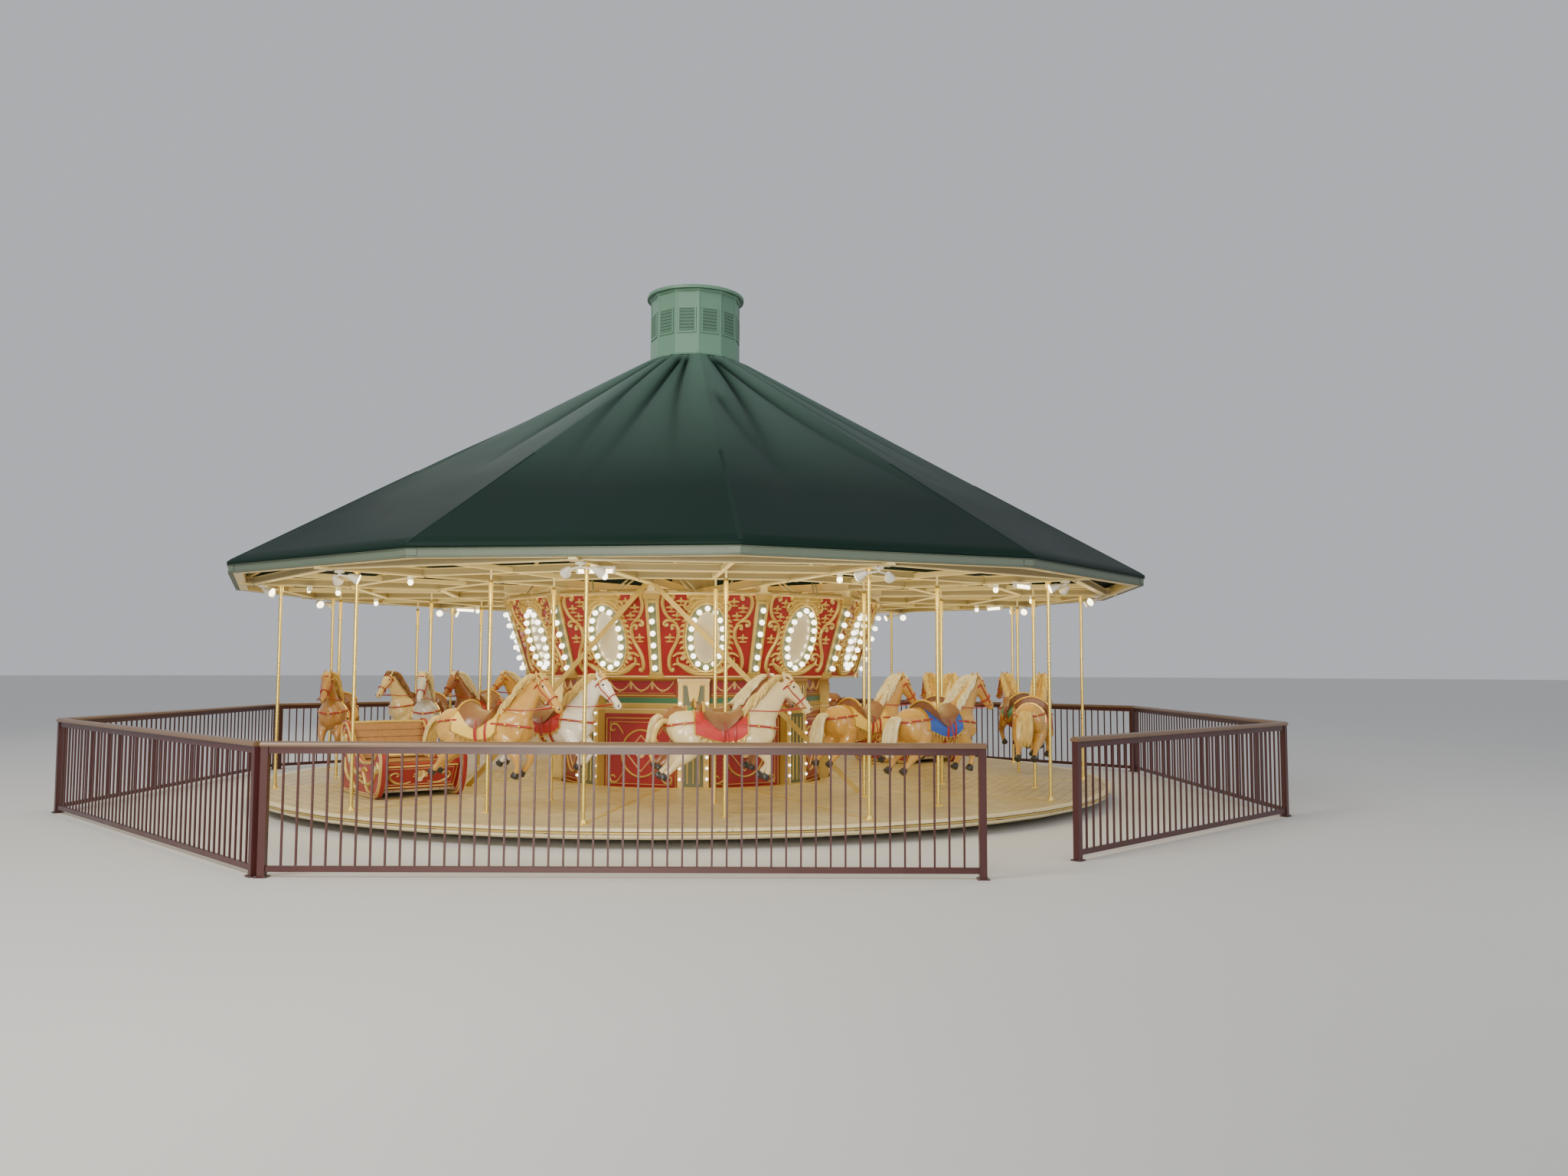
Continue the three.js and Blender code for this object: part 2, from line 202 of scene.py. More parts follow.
def makeFinish(name, base, tint=None, patch=3.0, rough=0.5, spread=0.12, metal=0.0, grain=40.0, bump=0.15,
               wear=None, wearAmount=0.3, coat=0.0, stretch=(1.0, 1.0, 1.0), specular=0.5):
    material = bpy.data.materials.new(name)
    material.use_nodes = True
    material.diffuse_color = (*base, 1.0)
    work = Nodes(material.node_tree)
    shader = work.tree.nodes["Principled BSDF"]
    for label, value in (("Metallic", metal), ("Coat Weight", coat), ("Coat Roughness", 0.15),
                         ("Specular IOR Level", specular)):
        shader.inputs[label].default_value = value
    coords = work.node("ShaderNodeTexCoord")
    mapping = work.node("ShaderNodeMapping", Scale=stretch, Vector=coords.outputs["Object"])

    def noise(scale, detail):
        made = work.node("ShaderNodeTexNoise", Scale=scale, Detail=detail, Vector=mapping.outputs["Vector"])
        return made.outputs["Fac"]

    patches = noise(patch, 5.0)
    lighter = tint or [min(1.0, c * 1.35 + 0.01) for c in base]
    colour = work.mix((*base, 1.0), (*lighter, 1.0), patches)
    if wear is not None:
        edge = work.node("ShaderNodeValToRGB", Fac=noise(grain * 0.35, 8.0))
        for stop, place in zip(edge.color_ramp.elements, (0.78, 0.84)):
            stop.position = place - wearAmount * 0.3
        colour = work.mix(colour, (*wear, 1.0), edge.outputs["Color"])
    gloss = work.node("ShaderNodeMapRange", Value=patches, To_Min=max(0.02, rough - spread),
                      To_Max=min(1.0, rough + spread))
    raised = work.node("ShaderNodeBump", Strength=bump, Distance=0.002, Height=noise(grain, 4.0))
    work.join(colour, shader.inputs["Base Color"])
    work.join(gloss.outputs["Result"], shader.inputs["Roughness"])
    work.join(raised.outputs["Normal"], shader.inputs["Normal"])
    return material


def makeGlow(name, colour, strength, base=(0.9, 0.88, 0.8)):
    material = makeFinish(name, base, rough=0.25, bump=0.02)
    shader = material.node_tree.nodes["Principled BSDF"]
    shader.inputs["Emission Color"].default_value = (*colour, 1.0)
    shader.inputs["Emission Strength"].default_value = strength
    return material


# Lays another colour over a finish, as far as the factor says.
def overlay(material, colour, factor, blend="MIX"):
    work = Nodes(material.node_tree)
    target = work.tree.nodes["Principled BSDF"].inputs["Base Color"]
    work.join(work.mix(target.links[0].from_socket, colour, factor, blend), target)


# Boards that run across each section of the deck: each section's own direction comes from its angle.
def makeDeckFinish(name, board, start):
    material = makeFinish(name, (0.56, 0.44, 0.22), (0.74, 0.62, 0.35), patch=2.2, rough=0.5, grain=60,
                          bump=0.2, wear=(0.36, 0.27, 0.14), wearAmount=0.35)
    work = Nodes(material.node_tree)
    calc, bay, first = work.calc, math.radians(bayStep), math.radians(start)
    coords = work.node("ShaderNodeTexCoord")
    parts = work.node("ShaderNodeSeparateXYZ", Vector=coords.outputs["Object"])
    x, y = parts.outputs["X"], parts.outputs["Y"]
    angle = calc("ARCTAN2", x, calc("MULTIPLY", y, -1.0))
    number = calc("ROUND", calc("DIVIDE", calc("SUBTRACT", angle, first), bay))
    middle = calc("ADD", calc("MULTIPLY", number, bay), first)
    sine, cosine = calc("SINE", middle), calc("COSINE", middle)
    across = calc("SUBTRACT", calc("MULTIPLY", x, sine), calc("MULTIPLY", y, cosine))
    along = calc("ADD", calc("MULTIPLY", x, cosine), calc("MULTIPLY", y, sine))
    row = calc("DIVIDE", across, board)
    boardEdge, sectionEdge = 0.475, 0.9663  # half a board less its groove, cosine of just under half a bay
    groove = calc("GREATER_THAN", calc("ABSOLUTE", calc("SUBTRACT", calc("FRACT", row), 0.5)), boardEdge)
    joint = calc("LESS_THAN", calc("COSINE", calc("SUBTRACT", angle, middle)), sectionEdge)
    spot = work.node("ShaderNodeCombineXYZ", X=calc("MULTIPLY", along, 1.4),
                     Y=calc("MULTIPLY", calc("FLOOR", row), 3.7), Z=calc("MULTIPLY", number, 5.3))
    stripe = work.node("ShaderNodeTexNoise", Scale=3.0, Vector=spot.outputs[0])
    overlay(material, stripe.outputs["Fac"], 0.55, "MULTIPLY")
    overlay(material, (0.06, 0.045, 0.03, 1.0), calc("MAXIMUM", groove, joint))
    return material


# Painted highlight: the cover is paler on the ridges between its creases, where the piece's own attribute
# says so.
def makeCoverFinish(name, base, tint, ridgeHighlightColour):
    material = makeFinish(name, base, tint, patch=1.1, rough=0.5, spread=0.06, grain=220, bump=0.2,
                          specular=0.09)
    ridge_highlight = Nodes(material.node_tree).node("ShaderNodeAttribute", {"attribute_name": "ridge_highlight"})
    overlay(material, (*ridgeHighlightColour, 1.0), ridge_highlight.outputs["Fac"])
    return material


finishes = {
    # Roof cover: dark green, with a painted highlight on the ridges between its creases.
    "roofSheet": makeCoverFinish("roof_cover_vinyl_painted_highlight", (0.003, 0.012, 0.008), (0.005, 0.018, 0.013),
                                 (0.085, 0.15, 0.118)),
    "roofSeam": makeFinish("roof_cover_seam", (0.004, 0.015, 0.01), (0.007, 0.023, 0.016), patch=2.0,
                           rough=0.5, grain=200, specular=0.09),
    "fasciaPaint": makeFinish("fascia_paint", (0.075, 0.1, 0.07), (0.11, 0.14, 0.098), patch=1.5, rough=0.5,
                              wear=(0.06, 0.06, 0.042), wearAmount=0.25),
    "drumPaint": makeFinish("drum_paint", (0.09, 0.2, 0.13), (0.14, 0.27, 0.185), patch=1.8, rough=0.5,
                            grain=50, wear=(0.07, 0.14, 0.095), wearAmount=0.22, stretch=(1, 1, 0.35)),
    # Painted shade: a dark sheet behind the louvre slats, where the drum's openings would be in shade.
    "louvreShade": makeFinish("louvre_painted_shade", (0.03, 0.06, 0.045), rough=0.7),
    "creamPaint": makeFinish("cream_paint", (0.82, 0.68, 0.32), (0.92, 0.8, 0.44), patch=1.4, rough=0.4,
                             wear=(0.5, 0.4, 0.2), wearAmount=0.18),
    # Painted shade: a darker paint for the webs of the sweeps and ring beams, with lighter wear.
    "beamWebShade": makeFinish("beam_web_painted_shade", (0.4, 0.32, 0.16), (0.5, 0.41, 0.22), patch=1.6, rough=0.45,
                          wear=(0.42, 0.3, 0.13), wearAmount=0.2),
    "scarlet": makeFinish("scenery_red_gloss", (0.25, 0.012, 0.016), (0.34, 0.02, 0.025), patch=4.0,
                          rough=0.32, grain=70, bump=0.06, coat=0.3, wear=(0.12, 0.006, 0.01),
                          wearAmount=0.2),
    "gold": makeFinish("carved_gold", (0.5, 0.31, 0.055), (0.72, 0.49, 0.13), patch=22.0, rough=0.34,
                       metal=0.75, grain=90, bump=0.2, wear=(0.26, 0.13, 0.03), wearAmount=0.35),
    "goldPaint": makeFinish("gold_paint", (0.46, 0.31, 0.075), (0.66, 0.49, 0.15), patch=8.0, rough=0.4,
                            metal=0.35, grain=90, bump=0.12, wear=(0.3, 0.17, 0.05), wearAmount=0.3),
    "paleGold": makeFinish("pale_gold", (0.7, 0.52, 0.22), (0.82, 0.66, 0.34), patch=6.0, rough=0.36,
                           metal=0.3),
    "olive": makeFinish("olive_paint", (0.1, 0.115, 0.05), (0.15, 0.16, 0.08), patch=9.0, rough=0.45),
    "bandGreen": makeFinish("band_green", (0.03, 0.14, 0.07), (0.06, 0.2, 0.1), patch=6.0, rough=0.4),
    "mirror": makeFinish("mirror_glass", (0.9, 0.84, 0.6), (0.95, 0.91, 0.74), patch=3.0, rough=0.24,
                         spread=0.06, metal=0.6, bump=0.01),
    "brass": makeFinish("polished_brass", (0.86, 0.62, 0.14), (0.96, 0.77, 0.24), patch=6.0, rough=0.3,
                        metal=0.85, grain=120, bump=0.05, spread=0.08, wear=(0.5, 0.32, 0.1),
                        wearAmount=0.12),
    "deck": makeDeckFinish("deck_boards", 0.14, turn),
    "benchWood": makeFinish("varnished_bench", (0.3, 0.13, 0.045), (0.42, 0.2, 0.075), patch=5.0, rough=0.3,
                            coat=0.4, grain=30, bump=0.1, stretch=(6, 1, 6)),
    "rim": makeFinish("rim_paint", (0.64, 0.53, 0.3), (0.78, 0.68, 0.42), patch=2.0, rough=0.5,
                      wear=(0.3, 0.24, 0.15), wearAmount=0.4),
    "maroon": makeFinish("fence_maroon", (0.042, 0.008, 0.008), (0.065, 0.013, 0.012), patch=3.0, rough=0.4,
                         grain=60, wear=(0.1, 0.045, 0.03), wearAmount=0.25, coat=0.1),
    "railTop": makeFinish("rail_top", (0.13, 0.07, 0.035), (0.18, 0.105, 0.055), patch=5.0, rough=0.35),
    "steel": makeFinish("grey_steel", (0.14, 0.15, 0.14), (0.2, 0.2, 0.19), patch=4.0, rough=0.5, metal=0.6,
                        wear=(0.12, 0.06, 0.03), wearAmount=0.3),
    "white": makeFinish("lamp_body", (0.7, 0.68, 0.6), rough=0.4),
    "bulbGlow": makeGlow("bulb_glass", (1.0, 0.95, 0.84), 4.2),
    "floodGlow": makeGlow("flood_glass", (1.0, 0.88, 0.62), 6.0),
}


print("finishes made")


# Shapes.

def neighbours(line, i, ringed):
    if ringed:
        return line[i - 1], line[(i + 1) % len(line)]
    return line[max(i - 1, 0)], line[min(i + 1, len(line) - 1)]


# A smooth line through the given points.
def smoothLine(points, steps=6, ringed=False):
    count, last = len(points), len(points) - 1
    made = []
    for i in range(count if ringed else last):
        near = [points[(i + k) % count if ringed else min(max(i + k, 0), last)] for k in (-1, 0, 1, 2)]
        for s in range(steps):
            t = s / steps
            made.append(tuple(
                0.5 * (2 * b + (c - a) * t + (2 * a - 5 * b + 4 * c - d) * t * t
                       + (3 * b - a - 3 * c + d) * t ** 3)
                for a, b, c, d in zip(*near)))
    if not ringed:
        made.append(tuple(points[-1]))
    return made


# One value for each of the steps, from a single number or from a few numbers spread evenly.
def spaced(values, count):
    if not isinstance(values, (list, tuple)):
        return [values] * count
    last, made = len(values) - 1, []
    for i in range(count):
        t = last * i / max(1, count - 1)
        k = min(int(t), last - 1)
        made.append(values[k] + (values[k + 1] - values[k]) * (t - k))
    return made


def oval(wide, high, middle, count, across=0.0):
    angles = [2 * math.pi * i / count for i in range(count)]
    return [(across + wide * math.sin(a), middle + high * math.cos(a)) for a in angles]


def box4(u0, z0, u1, z1):
    return [(u0, z0), (u1, z0), (u1, z1), (u0, z1)]


# Points and faces of a piece in the making. The mark on a face names its finish.
class Shape:
    def __init__(self):
        self.points = []
        self.faces = []
        self.marks = []

    # Loops of the same length joined one to the next.
    def addLoft(self, loops, mark=None, capped=True, ringed=False):
        base, size = len(self.points), len(loops[0])
        for loop in loops:
            self.points.extend(tuple(p) for p in loop)
        for i in range(len(loops) if ringed else len(loops) - 1):
            low, high = base + i * size, base + (i + 1) % len(loops) * size
            for j in range(size):
                k = (j + 1) % size
                self.faces.append((low + j, low + k, high + k, high + j))
        if capped and not ringed:
            top = base + (len(loops) - 1) * size
            self.faces += [tuple(range(base + size - 1, base - 1, -1)), tuple(range(top, top + size))]
        self.marks += [mark] * (len(self.faces) - len(self.marks))

    def addBox(self, low, high, mark=None, place=None):
        place = place or (lambda x, y, z: (x, y, z))
        corners = box4(low[0], low[1], high[0], high[1])
        self.addLoft([[place(x, y, z) for x, y in corners] for z in (low[2], high[2])], mark)

    # A section of (across, height) pairs drawn along the x axis.
    def addBar(self, section, start, end, mark=None):
        self.addLoft([[(x, y, z) for y, z in section] for x in (start, end)], mark)

    # A round tube along a line of points.
    def addTube(self, line, radii, sides=8, mark=None, ringed=False, flat=1.0):
        points = [Vector(p) for p in line]
        angles = [2 * math.pi * k / sides for k in range(sides)]
        loops, side = [], None
        for i, radius in enumerate(spaced(radii, len(points))):
            before, after = neighbours(points, i, ringed)
            way = (after - before).normalized()
            if side is None:
                side = way.cross(Vector((0.0, 1.0, 0.0)) if abs(way.y) < 0.9 else Vector((1.0, 0.0, 0.0)))
            side = (side - way * side.dot(way)).normalized()
            other = way.cross(side)
            loops.append([points[i] + side * math.cos(a) * radius + other * math.sin(a) * radius * flat
                          for a in angles])
        self.addLoft(loops, mark, ringed=ringed)

    # A rounded moulding that lies on a surface: line holds (across, up) pairs, place sets them in space.
    def addRidge(self, line, widths, height, place, mark=None, ringed=False, root=0.004):
        loops = []
        for i, width in enumerate(spaced(widths, len(line))):
            (u0, z0), (u1, z1) = neighbours(line, i, ringed)
            length = math.hypot(u1 - u0, z1 - z0) or 1.0
            nu, nz = -(z1 - z0) / length, (u1 - u0) / length
            half = width / 2
            rise = height * min(1.0, 0.45 + half / 0.02)
            section = [(-half, -root), (-half, rise * 0.15), (-half * 0.62, rise * 0.8), (0.0, rise),
                       (half * 0.62, rise * 0.8), (half, rise * 0.15), (half, -root)]
            loops.append([place(line[i][0] + nu * s, line[i][1] + nz * s, h) for s, h in section])
        self.addLoft(loops, mark, ringed=ringed)

    # A flat plate of the given outline on a surface.
    def addPlate(self, outline, low, high, place, mark=None):
        self.addLoft([[place(u, z, h) for u, z in outline] for h in (low, high)], mark)

    # A flat band between two outlines with the same number of points.
    def addBand(self, outer, inner, low, high, place, mark=None):
        self.addLoft([[place(*a, low), place(*a, high), place(*b, high), place(*b, low)]
                      for a, b in zip(outer, inner)], mark, ringed=True)

    # A closed profile of (radius, height) pairs turned about the upright axis.
    def addLathe(self, profile, segments, start=0.0, mark=None, centre=(0.0, 0.0)):
        angles = [math.radians(start) + 2 * math.pi * i / segments for i in range(segments)]
        self.addLoft([[(centre[0] + r * math.sin(a), centre[1] - r * math.cos(a), z) for r, z in profile]
                      for a in angles], mark, ringed=True)

    def addBlob(self, centre, radii, across=10, down=7, mark=None):
        angles = [2 * math.pi * j / across for j in range(across)]
        loops = []
        for i in range(down + 1):
            polar = math.pi * (i + 0.02) / (down + 0.04)
            wide, deep = radii[0] * math.sin(polar), radii[1] * math.sin(polar)
            z = radii[2] * math.cos(polar)
            loops.append([Vector(centre) + Vector((wide * math.cos(a), deep * math.sin(a), z))
                          for a in angles])
        self.addLoft(loops, mark)

    def add(self, other, matrix=None):
        base = len(self.points)
        points = np.array([tuple(p) for p in other.points], float).reshape(-1, 3)
        if matrix is not None:
            turned = np.array(matrix, float)
            points = points @ turned[:3, :3].T + turned[:3, 3]
        self.points.extend(map(tuple, points.tolist()))
        self.faces.extend(tuple(base + i for i in f) for f in other.faces)
        self.marks.extend(other.marks)
        return self

    # The shape repeated about the upright axis at each angle.
    def spun(self, angles):
        made = Shape()
        for degrees in angles:
            made.add(self, turnedBy(degrees))
        return made

    # Adds the shape and its mirror image to another one.
    def addBothTo(self, other):
        other.add(self).add(Shape().add(self, Matrix.Scale(-1, 4, Vector((1, 0, 0)))))


def finishMesh(mesh, smoothBelow=38.0):
    work = bmesh.new()
    work.from_mesh(mesh)
    bmesh.ops.recalc_face_normals(work, faces=work.faces)
    work.to_mesh(mesh)
    work.free()
    for polygon in mesh.polygons:
        polygon.use_smooth = True
    mesh.set_sharp_from_angle(angle=math.radians(smoothBelow))


# A mesh of the shape in the finishes named; faces without a mark have the first.
def meshOf(name, shape, used, smoothBelow=38.0):
    mesh = bpy.data.meshes.new(name)
    mesh.from_pydata([tuple(p) for p in shape.points], [], shape.faces)
    for finish in used:
        mesh.materials.append(finishes.get(finish))
    mesh.polygons.foreach_set("material_index", [used.index(mark) if mark else 0 for mark in shape.marks])
    finishMesh(mesh, smoothBelow)
    return mesh


def placePiece(name, mesh, body, replaced=()):
    piece = newObject(name, mesh)
    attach(piece, body)
    if replaced:
        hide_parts(*replaced)
    return piece


def makePiece(name, shape, used, body, replaced=(), smoothBelow=38.0):
    return placePiece(name, meshOf(name, shape, used, smoothBelow), body, replaced)


# Repeated small parts, set out by Geometry Nodes.

class Tree(Nodes):
    def __init__(self, name, inputs):
        super().__init__(bpy.data.node_groups.new(name, "GeometryNodeTree"))
        face = self.tree.interface
        face.new_socket("Geometry", in_out="INPUT", socket_type="NodeSocketGeometry")
        for label, value in inputs.items():
            kind = "NodeSocketInt" if isinstance(value, int) else "NodeSocketFloat"
            face.new_socket(label, in_out="INPUT", socket_type=kind).default_value = value
        face.new_socket("Geometry", in_out="OUTPUT", socket_type="NodeSocketGeometry")
        self.given = self.node("NodeGroupInput").outputs
        self.end = self.node("NodeGroupOutput")

    # Copies of one shape on the marked points, made real, with the finish set.
    def finish(self, shape, material):
        turned, size = (self.node("GeometryNodeInputNamedAttribute", {"data_type": "FLOAT_VECTOR"},
                                  Name=label)
                        for label in ("turn", "size"))
        rotation = self.node("FunctionNodeEulerToRotation", Euler=turned.outputs["Attribute"])
        copies = self.node("GeometryNodeInstanceOnPoints", Points=self.given["Geometry"], Instance=shape,
                           Rotation=rotation.outputs[0], Scale=size.outputs["Attribute"])
        real = self.node("GeometryNodeRealizeInstances", Geometry=copies.outputs[0])
        done = self.node("GeometryNodeSetMaterial", Geometry=real.outputs[0], Material=material)
        self.join(done.outputs[0], self.end.inputs[0])
        return self.tree


def barTree(name, material):
    tree = Tree(name, {"Width": 0.02, "Depth": 0.02, "Height": 1.0})
    size = tree.node("ShaderNodeCombineXYZ", X=tree.given["Width"], Y=tree.given["Depth"],
                     Z=tree.given["Height"])
    return tree.finish(tree.node("GeometryNodeMeshCube", Size=size.outputs[0]).outputs["Mesh"], material)


def globeTree(name, material):
    tree = Tree(name, {"Radius": 0.03, "Around": 10, "Down": 7})
    globe = tree.node("GeometryNodeMeshUVSphere", Segments=tree.given["Around"], Rings=tree.given["Down"],
                      Radius=tree.given["Radius"])
    soft = tree.node("GeometryNodeSetShadeSmooth", Geometry=globe.outputs["Mesh"])
    return tree.finish(soft.outputs[0], material)


def collarTree(name, material):
    tree = Tree(name, {"Radius": 0.03, "Foot": 0.04, "Height": 0.03, "Around": 10})
    collar = tree.node("GeometryNodeMeshCone", {"fill_type": "NGON"}, Vertices=tree.given["Around"],
                       Radius_Top=tree.given["Radius"], Radius_Bottom=tree.given["Foot"],
                       Depth=tree.given["Height"])
    return tree.finish(collar.outputs["Mesh"], material)


# A fluted rod that twists as it rises.
def twistTree(name, material):
    tree = Tree(name, {"Radius": 0.022, "Flute": 0.8, "Lobes": 4, "Length": 2.0, "Turns": 12.0,
                       "Steps": 120})
    given = tree.given
    top = tree.node("ShaderNodeCombineXYZ", Z=given["Length"])
    line = tree.node("GeometryNodeCurvePrimitiveLine", End=top.outputs[0])
    fine = tree.node("GeometryNodeResampleCurve", Curve=line.outputs[0], Count=given["Steps"])
    along = tree.node("GeometryNodeSplineParameter")
    twist = tree.calc("MULTIPLY", given["Turns"], 2 * math.pi)
    angle = tree.calc("MULTIPLY", along.outputs["Factor"], twist)
    turned = tree.node("GeometryNodeSetCurveTilt", Curve=fine.outputs[0], Tilt=angle)
    inner = tree.calc("MULTIPLY", given["Radius"], given["Flute"])
    star = tree.node("GeometryNodeCurveStar", Points=given["Lobes"], Inner_Radius=inner,
                     Outer_Radius=given["Radius"])
    tube = tree.node("GeometryNodeCurveToMesh", Curve=turned.outputs[0], Profile_Curve=star.outputs[0],
                     Fill_Caps=True)
    soft = tree.node("GeometryNodeSetShadeSmooth", Geometry=tube.outputs[0])
    return tree.finish(soft.outputs[0], material)


# Turns marked points into one plain mesh through a tree, and places it. A place is (point, turn, size).
def setOut(name, tree, places, inputs, body, replaced=()):
    mesh = bpy.data.meshes.new(name + "_points")
    mesh.from_pydata([tuple(p[0]) for p in places], [], [])
    for label, index in (("turn", 1), ("size", 2)):
        values = mesh.attributes.new(label, "FLOAT_VECTOR", "POINT")
        values.data.foreach_set("vector", [c for p in places for c in p[index]])
    holder = newObject(name + "_points", mesh)
    modifier = holder.modifiers.new(name, "NODES")
    modifier.node_group = tree
    for item in tree.interface.items_tree:
        if item.in_out == "INPUT" and item.name in inputs:
            modifier[item.identifier] = inputs[item.name]
    graph = bpy.context.evaluated_depsgraph_get()
    made = bpy.data.meshes.new_from_object(holder.evaluated_get(graph))
    holder.modifiers.remove(modifier)
    bpy.data.objects.remove(holder)
    for label in ("turn", "size"):
        if label in made.attributes:
            made.attributes.remove(made.attributes[label])
    made.name = name
    placePiece(name, made, body, replaced)


def eulerOf(xAxis, zAxis):
    z = Vector(zAxis).normalized()
    x = Vector(xAxis)
    x = (x - z * x.dot(z)).normalized()
    return tuple(Matrix((x, z.cross(x), z)).transposed().to_euler())


print("tools ready")


# Roof, fascia and cupola.

roofParts = {
    "foldDepth": 0.115, "sag": 0.028, "hipWidth": 0.05, "thickness": 0.002, "flat": (12.5, 12.5),
    "creaseWidth": 0.02, "creaseSpread": 0.017, "valley": 3.2, "seed": 11, "steps": 54, "rows": 46,
    "louvreSlats": 7, "louvreWidth": 0.215, "louvreBottom": 6.443, "louvreTop": 6.767,
}
# Creases of the cover on its front: direction at the drum, degrees of lean a metre, depth, start and end.
frontCreases = [
    (-72, 1.5, 0.8, 0.0, 3.4), (-56, 2.0, 0.85, 0.0, 3.8), (-40, 2.4, 0.85, 0.0, 3.9),
    (-25.5, 3.1, 0.95, 0.0, 4.4), (-11.5, 0.6, 1.0, 0.0, 4.7), (-4, 1.6, 0.8, 0.0, 4.4),
    (22.5, -1.6, 1.0, 0.0, 5.0), (8.5, 2.2, 0.9, 1.5, 4.8), (27.5, 2.2, 0.95, 0.0, 4.6),
    (42, 1.6, 0.85, 0.0, 3.9), (58, 0.5, 0.8, 0.0, 3.6), (74, -1.0, 0.8, 0.0, 3.6),
]
coverInner, coverHigh = layout["drumRadius"] + 0.012, layout["drumBottom"] + 0.012
coverOuter, coverLow = layout["eaveRadius"] + 0.022, layout["fasciaTop"] + 0.024


# Every crease round the roof: those seen from the front, and others like them set out from a fixed seed.
def coverCreases(parts):
    maker = random.Random(parts["seed"])
    creases = list(frontCreases)
    for k in range(11):
        creases.append((90 + k * 17.5 + maker.uniform(-4, 4), maker.uniform(-2.4, 2.4),
                        maker.uniform(0.75, 1.0), 0.0, maker.uniform(3.4, 5.0)))
    return creases


# How deep the creases are at a point of the cover, from 0 to about 1: a sharp line in a soft valley.
def creaseDepth(angle, radius, creases, parts):
    away = radius - layout["drumRadius"]
    width = parts["creaseWidth"] + parts["creaseSpread"] * away
    depth = 0.0
    for middle, lean, strength, start, end in creases:
        off = (angle - middle - lean * away + 180) % 360 - 180
        side = (math.radians(off) * radius / width) ** 2
        near = max(0.0, 1.0 - away / end) ** 1.2 * min(1.0, max(0.0, (away - start) / 0.2))
        depth += strength * near * (0.55 * math.exp(-side) + 0.45 * math.exp(-side / parts["valley"] ** 2))
    return min(depth, 1.1)


# How far the cover lies from its flat facets: creases that start at the drum, and a sag between hips.
def coverOffset(angle, share, radius, creases, parts):
    away = radius - layout["drumRadius"]
    valley = 4 * share * (1 - share) * math.sin(math.pi * min(1.0, max(0.0, away / 5.5)))
    swell = 0.03 * min(1.0, away / 0.2) * max(0.0, 1.0 - away / 3.4)
    return swell - parts["foldDepth"] * creaseDepth(angle, radius, creases, parts) - parts["sag"] * valley


# A point on a hip of the roof.
def roofPoint(degrees, radius, lift=0.0):
    t = (radius - coverInner) / (coverOuter - coverInner)
    return outward(degrees) * radius + up(coverHigh + (coverLow - coverHigh) * t + lift)


def dressRoof(parts):
    rows, steps = parts["rows"], parts["steps"]
    creases = coverCreases(parts)
    loops, highlightAmounts = [], []
    for r in range(rows + 1):
        t = (r / rows) ** 1.3
        radius = coverInner + (coverOuter - coverInner) * t
        z = coverHigh + (coverLow - coverHigh) * t
        # Painted highlight: strongest on the ridges near the drum, fading out over 4.4 m, and weaker or none
        # in the creases.
        highlightFalloff = max(0.0, 1.0 - (radius - coverInner) / 4.4) ** 1.2
        loop = []
        for hip in bayAngles:
            corner, following = outward(hip) * radius, outward(hip + bayStep) * radius
            for k in range(steps):
                share = k / steps
                angle = hip + bayStep * share
                offset = coverOffset(angle, share, radius, creases, parts)
                loop.append(corner.lerp(following, share) + up(z + offset))
                highlightAmounts.append(highlightFalloff * max(0.0, 1.0 - 1.5 * creaseDepth(angle, radius, creases, parts)))
        loops.append(loop)
    skirt = [Vector((p.x, p.y, layout["fasciaTop"] - 0.016)) for p in loops[-1]]
    cover = Shape()
    cover.addLoft(loops + [skirt], capped=False)
    mesh = meshOf("roof_cover", cover, ["roofSheet"], 60)
    mesh.attributes.new("ridge_highlight", "FLOAT", "POINT").data.foreach_set("value", highlightAmounts + [0.0] * len(skirt))
    piece = placePiece("roof_cover", mesh, "machine", ["roof"])
    thick = piece.modifiers.new("thickness", "SOLIDIFY")
    thick.thickness = parts["thickness"]
    thick.offset = -1.0
    rafters, seams = Shape(), Shape()
    half = parts["hipWidth"] / 2
    fall = half * 0.16
    for angle in bayAngles:
        rafters.addTube([roofPoint(angle, radius, -0.15 + 0.019 * radius)
                         for radius in (0.66, 2.0, 3.5, 5.0, 6.1)],
                        0.03, sides=6)
        loops = []
        for radius in [4.1 + 0.3 * k for k in range(8)]:
            middle = roofPoint(angle, radius, coverOffset(angle, 0.0, radius, creases, parts))
            loops.append([middle + sideways(angle) * half * share + up(lift) for share, lift in (
                (-1, -fall - 0.002), (-0.7, 0.003 - fall * 0.7), (0, 0.005), (0.7, 0.003 - fall * 0.7),
                (1, -fall - 0.002))])
        seams.addLoft(loops)
    makePiece("roof_rafters", rafters, ["creamPaint"], "machine")
    makePiece("roof_cover_seams", seams, ["roofSeam"], "machine", smoothBelow=60)


